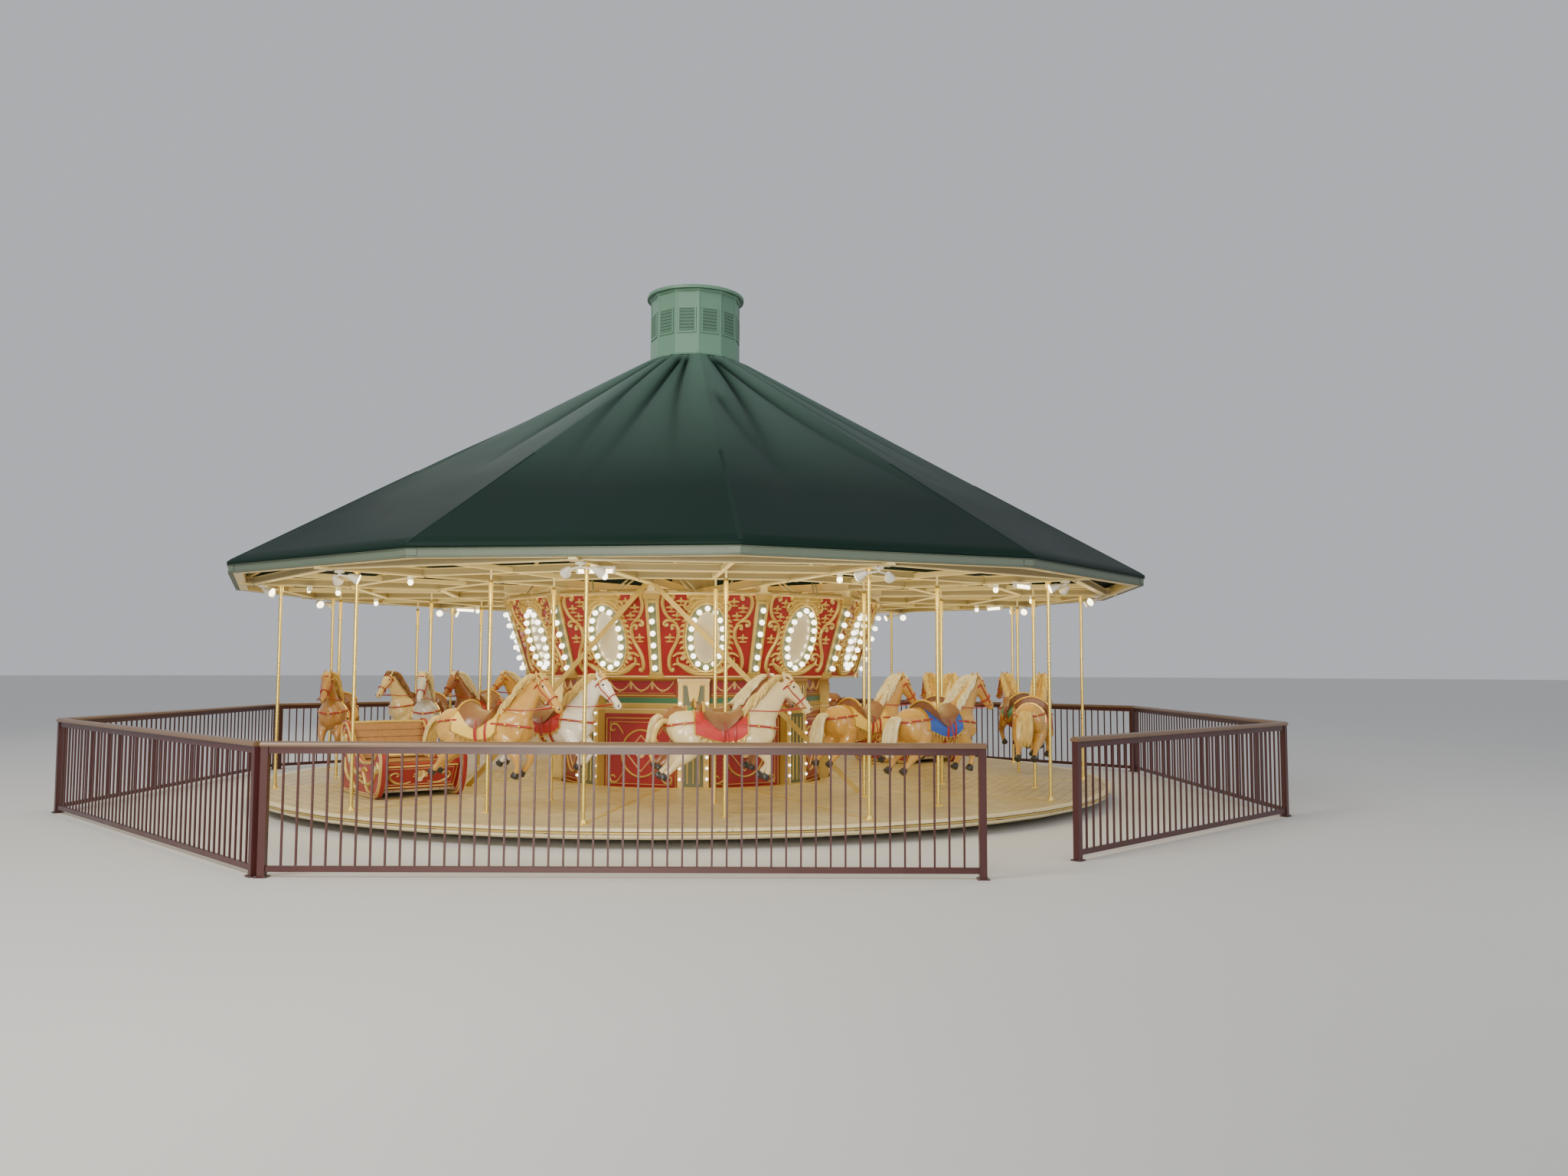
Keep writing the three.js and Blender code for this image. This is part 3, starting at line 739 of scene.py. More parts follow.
def dressFascia():
    r, low, high = layout["eaveRadius"], layout["fasciaBottom"], layout["fasciaTop"]
    trim, plates = Shape(), Shape()
    trim.addLathe([(r + 0.001, high - 0.022), (r + 0.02, high - 0.02), (r + 0.022, high - 0.004),
                   (r + 0.001, high - 0.002)], bays, turn)
    trim.addLathe([(r + 0.001, low + 0.001), (r + 0.009, low + 0.001), (r + 0.011, low + 0.011),
                   (r + 0.001, low + 0.016)], bays, turn)
    for angle in bayAngles:
        for side in (-1, 1):
            facing = angle + side * bayStep / 2
            start = outward(angle) * (r + 0.002)
            end = start + sideways(facing) * (side * 0.11)
            out, foot, head = outward(facing) * 0.005, up(low + 0.018), up(high - 0.024)
            plates.addLoft([[p + foot, p + out + foot, p + out + head, p + head] for p in (start, end)])
    makePiece("fascia_lips", trim, ["fasciaPaint"], "machine", smoothBelow=20)
    makePiece("fascia_corner_plates", plates, ["fasciaPaint"], "machine",
              smoothBelow=20)


def dressCupola(parts):
    r, c, top = layout["drumRadius"], layout["capRadius"], layout["capTop"]
    flat = r * bayFlat
    low, high, half = parts["louvreBottom"], parts["louvreTop"], parts["louvreWidth"] / 2
    edge = 0.022  # width of a louvre's frame

    def place(u, z, h):
        return (u, -(flat + h), z)

    facet, ribs, rim = Shape(), Shape(), Shape()
    facet.addBand(box4(-half - edge, low - edge, half + edge, high + edge), box4(-half, low, half, high),
                  -0.002, 0.014, place, "drumPaint")
    # A dark plate behind the slats: painted shade for the louvre openings.
    facet.addPlate(box4(-half, low, half, high), -0.002, 0.0015, place, "louvreShade")
    facet.addBox((-half - edge, 0.0, 6.15), (half + edge, 0.006, 6.16), "drumPaint",
                 lambda u, h, z: place(u, z, h))
    frames = facet.spun(cornerAngles)
    for angle in bayAngles:
        out, side = outward(angle), sideways(angle)
        left = outward(angle - bayStep / 2) * 0.004 - side * 0.028
        right = outward(angle + bayStep / 2) * 0.004 + side * 0.028
        ribs.addLoft([[out * (r - 0.004) + up(z), out * (r - 0.008) + left + up(z),
                       out * (r + 0.006) + up(z), out * (r - 0.008) + right + up(z)]
                      for z in (layout["drumBottom"] + 0.03, layout["drumTop"] - 0.02)])
    frames.add(ribs)
    frames.addLathe([(r + 0.001, 6.108), (r + 0.03, 6.108), (r + 0.03, 6.118), (r + 0.008, 6.135),
                     (r + 0.008, 6.4), (r + 0.001, 6.408)], bays, turn)
    frames.addLathe([(r + 0.001, 7.01), (r + 0.012, 7.012), (r + 0.03, 7.043), (r + 0.001, 7.043)], bays,
                    turn)
    makePiece("cupola_louvre_frames", frames, ["drumPaint", "louvreShade"], "machine",
              smoothBelow=20)
    places = []
    pitch = (high - low) / parts["louvreSlats"]
    for angle in cornerAngles:
        lean = (outward(angle) * 0.55 + up(0.83)).normalized()
        for k in range(parts["louvreSlats"]):
            point = outward(angle) * (flat + 0.0085) + up(low + pitch * (k + 0.5))
            places.append((point, eulerOf(sideways(angle), lean), unitSize))
    setOut("cupola_slats", barTree("louvre_slat_tree", finishes["drumPaint"]), places,
           {"Width": 2 * half, "Depth": 0.003, "Height": pitch * 0.72}, "machine")
    rim.addLathe([(c - 0.012, top - 0.052), (c + 0.012, top - 0.052), (c + 0.017, top - 0.03),
                  (c + 0.012, top - 0.008), (c - 0.012, top - 0.004)], 48)
    makePiece("cupola_cap_rim", rim, ["drumPaint"], "machine")


dressRoof(roofParts)
dressFascia()
dressCupola(roofParts)
print("roof dressed")


# The turning centre panels.

panelParts = {
    "middle": 2.085, "mirror": (0.15, 0.3), "ring": (0.25, 0.41), "rim": (0.263, 0.423),
    "bulbRing": (0.2, 0.36), "ringBulbs": 16, "bulbRadius": 0.035, "postTop": 0.09, "postBottom": 0.079,
    "border": 0.032, "postBulbs": [1.72, 1.855, 1.995, 2.14, 2.285, 2.43], "carving": 0.028,
    "boldness": 1.42,
}
panelRise = layout["panelTop"] - layout["panelBottom"]
panelFlare = layout["panelTopRadius"] - layout["panelBottomRadius"]
panelLean = math.atan(panelFlare * bayFlat / panelRise)


def panelRun(z):
    return layout["panelBottomRadius"] * bayFlat + (z - layout["panelBottom"]) * math.tan(panelLean)


def panelPlace(u, z, h):
    return (u, -(panelRun(z) + h * math.cos(panelLean)), z - h * math.sin(panelLean))


# Points at equal steps of length round an oval.
def evenOval(wide, high, middle, count):
    fine = oval(wide, high, middle, 720)
    lengths = [0.0]
    for a, b in zip(fine, fine[1:] + fine[:1]):
        lengths.append(lengths[-1] + math.dist(a, b))
    made, k = [], 0
    for i in range(count):
        while lengths[k + 1] < lengths[-1] * i / count:
            k += 1
        made.append(fine[k % len(fine)])
    return made


# Lines of the carving on the right half of a panel, as (across, height) points, with the widths along them.
carvedLines = [
    ([(0.444, 2.548), (0.414, 2.556), (0.417, 2.588), (0.457, 2.602), (0.51, 2.598), (0.543, 2.562),
      (0.551, 2.498), (0.537, 2.43), (0.494, 2.349), (0.426, 2.29), (0.366, 2.245)],
     [0.026, 0.022, 0.024, 0.03, 0.034, 0.036, 0.034, 0.03, 0.024, 0.016]),
    ([(0.36, 2.238), (0.405, 2.274), (0.463, 2.289), (0.51, 2.279), (0.529, 2.246), (0.505, 2.224),
      (0.478, 2.232)],
     [0.012, 0.022, 0.028, 0.026, 0.022, 0.024]),
    ([(0.444, 2.204), (0.41, 2.19), (0.435, 2.222), (0.402, 2.234), (0.366, 2.214), (0.347, 2.16),
      (0.351, 2.087), (0.378, 2.006), (0.417, 1.929), (0.446, 1.843), (0.451, 1.765), (0.439, 1.705),
      (0.413, 1.672), (0.392, 1.686), (0.402, 1.706)],
     [0.018, 0.024, 0.024, 0.028, 0.034, 0.034, 0.03, 0.032, 0.034, 0.034, 0.03, 0.024, 0.018]),
    ([(0.408, 1.85), (0.354, 1.884), (0.299, 1.889), (0.265, 1.853), (0.272, 1.818), (0.303, 1.816),
      (0.313, 1.84)],
     [0.014, 0.024, 0.026, 0.024, 0.022, 0.018]),
    ([(0.345, 1.84), (0.352, 1.8), (0.335, 1.765), (0.305, 1.762)], [0.012, 0.024, 0.022, 0.014]),
    ([(0.405, 1.745), (0.352, 1.76), (0.3, 1.735), (0.24, 1.69), (0.16, 1.652), (0.08, 1.635), (0.0, 1.632)],
     [0.014, 0.026, 0.034, 0.036, 0.034, 0.03]),
    ([(0.25, 1.722), (0.2, 1.69), (0.12, 1.664), (0.04, 1.668), (0.0, 1.655)], [0.012, 0.02, 0.024, 0.02]),
    ([(0.0, 2.592), (0.07, 2.605), (0.14, 2.592), (0.205, 2.602), (0.243, 2.588), (0.238, 2.562),
      (0.212, 2.566)],
     [0.034, 0.034, 0.03, 0.028, 0.024, 0.02]),
    ([(0.0, 2.556), (0.08, 2.552), (0.15, 2.562), (0.198, 2.545), (0.222, 2.508), (0.205, 2.482),
      (0.182, 2.495)],
     [0.03, 0.032, 0.03, 0.028, 0.022, 0.018]),
    ([(0.0, 2.522), (0.06, 2.532), (0.12, 2.518), (0.165, 2.486), (0.205, 2.44)],
     [0.02, 0.026, 0.026, 0.022, 0.014]),
    ([(0.235, 2.535), (0.27, 2.5), (0.282, 2.455), (0.262, 2.42)], [0.014, 0.026, 0.024, 0.014]),
]
sprigPlaces = [(0.326, 2.52), (0.44, 2.444), (0.368, 2.348), (0.45, 2.08)]
beadPlaces = [(0.432, 2.56, 0.022), (0.492, 2.238, 0.02), (0.428, 2.197, 0.018), (0.29, 1.838, 0.02),
              (0.404, 1.694, 0.018)]
# Outlines of the solid crown over the oval and of the shell under it, on the right half.
crownOutline = [(0.0, 2.61), (0.1, 2.612), (0.2, 2.602), (0.238, 2.582), (0.216, 2.55), (0.19, 2.534),
                (0.214, 2.512), (0.232, 2.482), (0.272, 2.458), (0.286, 2.42), (0.23, 2.4), (0.14, 2.455),
                (0.0, 2.49)]
shellOutline = [(0.0, 1.612), (0.07, 1.616), (0.14, 1.632), (0.2, 1.652), (0.262, 1.684), (0.31, 1.722),
                (0.345, 1.762), (0.292, 1.764), (0.24, 1.744), (0.18, 1.716), (0.1, 1.686), (0.0, 1.672)]


# The carving of one panel, round its mirror.
def panelCarving(parts):
    art, half, place = Shape(), Shape(), panelPlace
    middle, lift = parts["middle"], parts["carving"]
    glass = [size + 0.004 for size in parts["mirror"]]
    edging = [size + 0.006 for size in parts["mirror"]]
    art.addPlate(oval(0.296, 0.448, middle, 40), -0.003, 0.005, place, "goldPaint")
    for outline in (crownOutline, shellOutline):
        art.addPlate(outline + [(-u, z) for u, z in reversed(outline[1:-1])], -0.003, 0.011, place,
                     "goldPaint")
    art.addBand(oval(*parts["ring"], middle, 48), oval(*parts["mirror"], middle, 48), 0.003, 0.009, place,
                "olive")
    art.addPlate(oval(*glass, middle, 48), 0.004, 0.007, place, "mirror")
    art.addRidge(oval(*parts["rim"], middle, 48), 0.028, lift, place, "goldPaint", ringed=True)
    art.addRidge(oval(*edging, middle, 48), 0.014, 0.017, place, "paleGold", ringed=True)
    for line, widths in carvedLines:
        half.addRidge(smoothLine(line, 3), [width * parts["boldness"] for width in widths], lift, place,
                      "goldPaint")
    for i in range(15):
        angle = math.radians(28 + i * 8.9)
        u, z = 0.262 * math.sin(angle), middle + 0.425 * math.cos(angle)
        rise = 0.014 * math.cos(angle)
        line = [(u, z)] + [(u + reach * math.sin(angle), z + lower + rise)
                           for reach, lower in ((0.028, 0.012), (0.056, 0.006), (0.078, -0.012))]
        half.addRidge(smoothLine(line, 3), [0.022, 0.038, 0.034, 0.012], lift * 0.8, place, "goldPaint")
    for u, z in sprigPlaces:
        for line, widths in (
                ([(u - 0.064, z), (u, z + 0.002), (u + 0.064, z)], [0.014, 0.036, 0.014]),
                ([(u, z + 0.046), (u, z), (u, z - 0.026)], [0.018, 0.038, 0.018]),
                ([(u - 0.05, z - 0.05), (u, z - 0.047), (u + 0.05, z - 0.05)], [0.01, 0.028, 0.01])):
            half.addRidge(smoothLine(line, 4), widths, lift * 0.6, place, "goldPaint")
    for u, z, size in beadPlaces:
        half.addPlate(oval(size, size, z, 12, u), 0.0, lift * 0.9, place, "paleGold")
    half.addBothTo(art)
    for step in range(3):
        line = [(-0.03 + step * 0.03, 2.615 - abs(step - 1) * 0.012), (-0.02 + step * 0.02, 2.57),
                (0.0, 2.53)]
        art.addRidge(smoothLine(line, 3), [0.012, 0.024, 0.014], lift, place, "paleGold")
    return art


# A pilaster folded over the corner between two panels: one half, on the right side of a panel.
def pilasterHalf(parts):
    art = Shape()
    tanHalfBay = math.tan(math.radians(bayStep / 2))

    def slab(z0, z1, in0, in1, out0, out1, low, high, mark):
        loops = []
        for z, inner, outer in ((z0, in0, out0), (z1, in1, out1)):
            loop = []
            for h, side in ((low, inner), (high, inner), (high, outer), (low, outer)):
                edge = (panelRun(z) + h * math.cos(panelLean)) * tanHalfBay
                loop.append(panelPlace(edge - side, z, h))
            loops.append(loop)
        art.addLoft(loops, mark)

    foot, head, border = parts["postBottom"], parts["postTop"], parts["border"]
    innerFoot, innerHead = foot - border, head - border
    slab(1.62, 2.575, 0.0, 0.0, foot, head, -0.004, 0.012, "olive")
    slab(1.65, 2.56, innerFoot, innerHead, foot, head, 0.0, 0.022, "goldPaint")
    slab(1.65, 2.56, innerFoot - 0.006, innerHead - 0.006, innerFoot, innerHead, 0.0, 0.017, "paleGold")
    for z0, z1, wide, rise in (
            (2.5, 2.535, head + 0.004, 0.026), (2.545, 2.562, head + 0.012, 0.034),
            (2.565, 2.6, head + 0.02, 0.044), (2.602, 2.618, head + 0.028, 0.05),
            (1.594, 1.618, foot + 0.02, 0.036), (1.62, 1.638, foot + 0.012, 0.03),
            (1.642, 1.656, foot + 0.006, 0.026)):
        slab(z0, z1, 0.0, 0.0, wide, wide, -0.002, rise, "goldPaint")
    return art


# A bulb and its socket at a foot on a surface, for the two lists of places.
def addBulb(bulbs, sockets, foot, way, lifts, angle, size):
    turned = eulerOf(sideways(angle), way)
    bulbs.append((foot + way * lifts[0], turned, size))
    sockets.append((foot + way * lifts[1], turned, unitSize))


def setOutBulbs(name, bulbs, sockets, globe, socket, body):
    setOut(name + "_bulbs", globeTree(name + "_bulb_tree", finishes["bulbGlow"]), bulbs, globe, body)
    setOut(name + "_sockets", collarTree(name + "_socket_tree", finishes["paleGold"]), sockets, socket, body)


def dressPanels(parts):
    art = panelCarving(parts)
    pilasterHalf(parts).addBothTo(art)
    whole = art.spun(bayAngles)
    whole.addLathe([(2.672, 2.6), (2.692, 2.606), (2.694, 2.622), (2.688, 2.634), (2.67, 2.634)], bays,
                   cornerAngles[0], "paleGold")
    whole.addLathe([(2.331, 1.588), (2.345, 1.59), (2.349, 1.606), (2.338, 1.612)], bays, cornerAngles[0],
                   "paleGold")
    makePiece("centre_panel_carving", whole, ["goldPaint", "paleGold", "olive", "mirror"], "machine",
              smoothBelow=50)
    bulbs, sockets, longer = [], [], (1.0, 1.0, 1.12)
    normal = Vector((0.0, -math.cos(panelLean), -math.sin(panelLean)))
    for angle in bayAngles:
        spin = turnedBy(angle, 3)
        for u, z in evenOval(*parts["bulbRing"], parts["middle"], parts["ringBulbs"]):
            foot = spin @ Vector(panelPlace(u, z, 0.0))
            addBulb(bulbs, sockets, foot, spin @ normal, (0.045, 0.014), angle, longer)
    lean = math.atan(panelFlare / panelRise)
    for angle in cornerAngles:
        way = outward(angle) * math.cos(lean) - up(math.sin(lean))
        for z in parts["postBulbs"]:
            radius = layout["panelBottomRadius"] + (z - layout["panelBottom"]) * panelFlare / panelRise
            addBulb(bulbs, sockets, outward(angle) * radius + up(z), way, (0.052, 0.021), angle, longer)
    setOutBulbs("centre_panel", bulbs, sockets, {"Radius": parts["bulbRadius"], "Around": 10, "Down": 6},
                {"Radius": 0.017, "Foot": 0.024, "Height": 0.022, "Around": 10}, "machine")


dressPanels(panelParts)
print("centre panels dressed")


# The standing housing under the panels.

housingParts = {"boardSide": 0.52, "frameSide": 0.485, "frieze": (1.352, 1.566), "field": (0.17, 1.06),
                "medallion": 0.61, "swagTop": 1.535, "swagDrop": 0.12, "edgeBulbs": 8,
                "edgeBulbRadius": 0.018, "bulbTop": 1.261, "bulbPitch": 0.136, "bulbSide": 0.172}
housingFlat = math.cos(math.radians(eighth / 2))
postAngles = [layout["housingTurn"] + eighth * i for i in range(8)]
housingAngles = [layout["housingTurn"] + eighth / 2 + eighth * i for i in range(8)]


def housingPlace(u, z, h):
    return (u, -(layout["housingRadius"] * housingFlat + h), z)


def postPlace(u, z, h):
    return (u, -(layout["postRadius"] + h), z)


# One board of the housing.
def housingFacet(parts):
    art = Shape()
    side, wide, place = parts["frameSide"], parts["boardSide"], housingPlace
    (friezeLow, friezeHigh), (fieldLow, fieldHigh) = parts["frieze"], parts["field"]
    swag, centre = parts["swagTop"], parts["medallion"]
    for inset, width, rise in ((0.0, 0.024, 0.018), (0.032, 0.01, 0.012)):
        art.addRidge(box4(-side + inset, friezeLow + inset, side - inset, friezeHigh - inset * 0.6), width,
                     rise, place, "goldPaint", ringed=True)
    knots = [-0.45, -0.15, 0.15, 0.45]
    for left, right in zip(knots, knots[1:]):
        line = [(left + (right - left) * i / 12, swag - parts["swagDrop"] * (1 - (i / 6 - 1) ** 2))
                for i in range(13)]
        widths = [0.01 + 0.012 * math.sin(math.pi * i / 12) + (0.004 if i % 2 else 0.0) for i in range(13)]
        art.addRidge(line, widths, 0.02, place, "paleGold")
        middle = (left + right) / 2
        art.addPlate(oval(0.02, 0.016, 1.412, 12, middle), 0.0, 0.024, place, "goldPaint")
        art.addRidge([(middle - 0.022, 1.436), (middle, 1.398), (middle + 0.022, 1.436)],
                     [0.006, 0.012, 0.006], 0.02, place, "goldPaint")
    for knot in knots[1:3]:
        art.addRidge([(knot - 0.022, swag + 0.01), (knot, swag), (knot + 0.022, swag + 0.01)],
                     [0.01, 0.02, 0.01], 0.022, place, "goldPaint")
        for drift in (-0.014, 0.0, 0.014):
            art.addRidge([(knot, swag), (knot + drift * 0.6, 1.49), (knot + drift, 1.425 + abs(drift))],
                         [0.008, 0.012, 0.008], 0.018, place, "paleGold")
    for inset, width, rise in ((0.0, 0.022, 0.018), (0.05, 0.012, 0.012)):
        art.addRidge(box4(-side + inset, fieldLow + inset, side - inset, fieldHigh - inset), width, rise,
                     place, "goldPaint", ringed=True)
    art.addRidge(oval(0.27, 0.3, centre, 28), 0.026, 0.02, place, "goldPaint", ringed=True)
    art.addRidge([(0.0, centre + 0.23), (0.2, centre), (0.0, centre - 0.23), (-0.2, centre)], 0.018, 0.016,
                 place, "paleGold", ringed=True)
    curl = [(0.25, 0.25), (0.33, 0.36), (0.41, 0.37), (0.43, 0.31), (0.385, 0.285), (0.36, 0.315)]
    for across, along in ((1, 1), (1, -1), (-1, 1), (-1, -1)):
        line = [(across * u, centre + along * z) for u, z in curl]
        art.addRidge(smoothLine(line, 4), [0.012, 0.026, 0.026, 0.022, 0.014], 0.018, place, "goldPaint")
    art.addPlate(oval(0.06, 0.06, centre, 16), 0.0, 0.022, place, "paleGold")
    art.addPlate(box4(-wide, 1.256, wide, 1.324), 0.0, 0.0085, place, "bandGreen")
    art.addRidge([(-wide, 1.25), (wide, 1.25)], 0.012, 0.012, place, "paleGold")
    art.addPlate(box4(-wide, 1.17, wide, 1.186), 0.009, 0.02, place, "paleGold")
    art.addPlate(box4(-wide, 0.03, wide, 0.11), 0.0, 0.012, place, "goldPaint")
    art.addRidge([(-wide, 0.118), (wide, 0.118)], 0.016, 0.014, place, "paleGold")
    return art


# One corner post of the housing.
def housingPost():
    art = Shape()
    half, place, depth = layout["postWidth"] / 2 + 0.005, postPlace, 0.118
    for z0, z1, wider, rise, mark in (
            (0.02, 1.574, 0.0, 0.004, "goldPaint"), (0.02, 0.13, 0.014, 0.016, "goldPaint"),
            (0.135, 0.16, 0.009, 0.01, "paleGold"), (1.17, 1.19, 0.01, 0.014, "paleGold"),
            (1.545, 1.573, 0.012, 0.016, "paleGold"), (1.52, 1.54, 0.006, 0.01, "goldPaint")):
        art.addPlate(box4(-half - wider, z0, half + wider, z1), -depth, rise, place, mark)
    for low, high in ((0.2, 1.12), (1.22, 1.49)):
        art.addRidge(box4(-0.135, low, 0.135, high), 0.018, 0.018, place, "paleGold", ringed=True, root=0.0)
        art.addPlate(box4(-0.128, low + 0.008, 0.128, high - 0.008), 0.002, 0.0065, place, "olive")
    for u in (-0.075, 0.0, 0.075):
        art.addRidge([(u, 0.25), (u, 0.66), (u, 1.07)], [0.02, 0.026, 0.02], 0.016, place, "goldPaint")
    art.addPlate([(-0.05, 1.29), (0.05, 1.29), (0.085, 1.5), (-0.085, 1.5)], 0.0, 0.034, place, "goldPaint")
    art.addRidge([(-0.05, 1.285), (0.05, 1.285)], 0.022, 0.04, place, "paleGold")
    for u in (-0.04, 0.0, 0.04):
        art.addRidge([(u * 0.8, 1.31), (u, 1.39), (u * 1.4, 1.48)], [0.01, 0.015, 0.018], 0.042, place,
                     "paleGold")
    return art


def dressHousing(parts):
    whole = housingFacet(parts).spun(housingAngles)
    whole.add(housingPost().spun(postAngles))
    makePiece("housing_carving", whole, ["goldPaint", "paleGold", "bandGreen", "olive"], "base",
              smoothBelow=50)
    bulbs, sockets = [], []
    for angle in postAngles:
        for u in (-parts["bulbSide"], parts["bulbSide"]):
            for k in range(parts["edgeBulbs"]):
                foot = Vector(postPlace(u, parts["bulbTop"] - parts["bulbPitch"] * k, 0.0))
                addBulb(bulbs, sockets, turnedBy(angle, 3) @ foot, outward(angle), (0.026, 0.008), angle,
                        unitSize)
    setOutBulbs("housing", bulbs, sockets, {"Radius": parts["edgeBulbRadius"], "Around": 8, "Down": 6},
                {"Radius": 0.011, "Foot": 0.016, "Height": 0.012, "Around": 8}, "base")


dressHousing(housingParts)
print("housing dressed")


# Platform, rods and poles.

platformParts = {"rodRadius": 0.022, "turnsPerMetre": 5.5, "collarRadius": 0.042, "collarBore": 0.0246,
                 "poleRadius": 0.0228, "poleLength": 2.285, "poleFoot": 0.105, "sleeveFoot": 2.39,
                 "sleeveTop": 2.629, "sleeveBore": 0.0132}
horseBays = [bay for bay in range(bays) if bay not in layout["chariotBays"]]
horsePlaces = [(row, bay) for bay in horseBays for row in ("outer", "inner")]


def horseName(row, bay):
    return "horse_%s_%02d" % (row, horseBays.index(bay) + 1)


def horseMatrix(row, bay):
    return placeMatrix(layout[row + "Row"], bayAngles[bay])


def platformTrim():
    r, inner, top = layout["platformRadius"], layout["platformInner"], layout["platformTop"]
    trim = Shape()
    for profile, mark in (
            ([(r - 0.05, 0.2005), (r + 0.024, 0.2005), (r + 0.034, 0.194), (r + 0.034, 0.176),
              (r + 0.002, 0.17), (r - 0.05, 0.1995)], "rim"),
            ([(r + 0.001, 0.168), (r + 0.022, 0.165), (r + 0.022, 0.15), (r + 0.001, 0.147)], "goldPaint"),
            ([(r - 0.005, 0.141), (r + 0.012, 0.139), (r + 0.006, 0.118), (r - 0.028, 0.098),
              (r - 0.04, 0.104)], "rim"),
            ([(inner - 0.003, 0.12), (inner - 0.003, 0.205), (inner + 0.05, 0.205), (inner + 0.05, 0.2005),
              (inner - 0.0005, 0.2005), (inner - 0.0005, 0.12)], "goldPaint")):
        trim.addLathe(profile, 48, turn, mark)
    for angle in cornerAngles:
        strip = [outward(angle) * a + sideways(angle) * b for a, b in box4(2.06, -0.02, 5.66, 0.02)]
        trim.addLoft([[p + up(top + rise) for p in strip] for rise in (0.0002, 0.0035)], "goldPaint")
    return trim


def rodFittings(parts, high):
    fittings = Shape()
    for angle in cornerAngles:
        one, base = Shape(), layout["platformTop"] + 0.0005
        one.addLathe([(0.0, base), (0.048, base), (0.048, base + 0.006), (0.036, base + 0.011),
                      (0.028, base + 0.04), (0.0, base + 0.04)], 16)
        one.addLathe([(0.0, high - 0.09), (0.026, high - 0.09), (0.031, high - 0.06), (0.031, high - 0.012),
                      (0.045, high), (0.0, high)], 16)
        fittings.add(one, placeMatrix(layout["rodRing"], angle))
    for row, bay in horsePlaces:
        one, base, edge = Shape(), layout["platformTop"] + 0.0003, parts["collarRadius"] + 0.012
        bore = parts["collarBore"]
        one.addLathe([(bore, base), (edge, base), (edge, base + 0.004), (0.034, base + 0.012),
                      (bore, base + 0.012)], 16)
        fittings.add(one, horseMatrix(row, bay))
    return fittings


def dressPlatform(parts):
    makePiece("platform_trim", platformTrim(), ["rim", "goldPaint"], "machine", smoothBelow=30)
    low, high = layout["platformTop"] + 0.016, layout["frameBottom"] - 0.002
    rods = [(outward(angle) * layout["rodRing"] + up(low), (0.0, 0.0, math.radians(angle)), unitSize)
            for angle in cornerAngles]
    tree = twistTree("rope_rod_tree", finishes["brass"])
    sizes = {"Radius": parts["rodRadius"], "Length": high - low,
             "Turns": (high - low) * parts["turnsPerMetre"], "Steps": 150}
    setOut("drop_rods", tree, rods, sizes, "machine",
           ["drop_rod_%02d" % (i + 1) for i in range(bays)])
    makePiece("rod_fittings", rodFittings(parts, high), ["brass"], "machine")
    outer, length = parts["poleRadius"], parts["poleLength"]
    foot, head, bore = parts["sleeveFoot"], parts["sleeveTop"], parts["sleeveBore"]
    sizes = {"Radius": outer, "Length": length, "Turns": length * parts["turnsPerMetre"], "Steps": 140}
    for body in ("jumpers_rising", "jumpers_falling"):
        places, sleeves = [], Shape()
        for row, bay in horsePlaces:
            if frame["nodes"][horseName(row, bay)]["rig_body"] != body:
                continue
            place = horseMatrix(row, bay)
            places.append((place @ up(parts["poleFoot"]), (0.0, 0.0, math.radians(bayAngles[bay])),
                           unitSize))
            sleeve = Shape()
            sleeve.addLathe([(bore, foot), (outer, foot), (outer, head - 0.005), (outer - 0.002, head),
                             (bore, head)], 14)
            sleeve.addLathe([(0.02, foot - 0.03), (outer + 0.004, foot - 0.024),
                             (outer + 0.004, foot - 0.005), (0.02, foot)], 14)
            sleeves.add(sleeve, place)
        setOut(body + "_poles", tree, places, sizes, body)
        makePiece(body + "_sleeves", sleeves, ["brass"], body)


dressPlatform(platformParts)
print("platform and rods dressed")


# Fence.

fenceParts = {"pitch": 0.12, "picket": 0.016, "postSize": 0.06, "picketHeight": 0.912, "picketMiddle": 0.548}


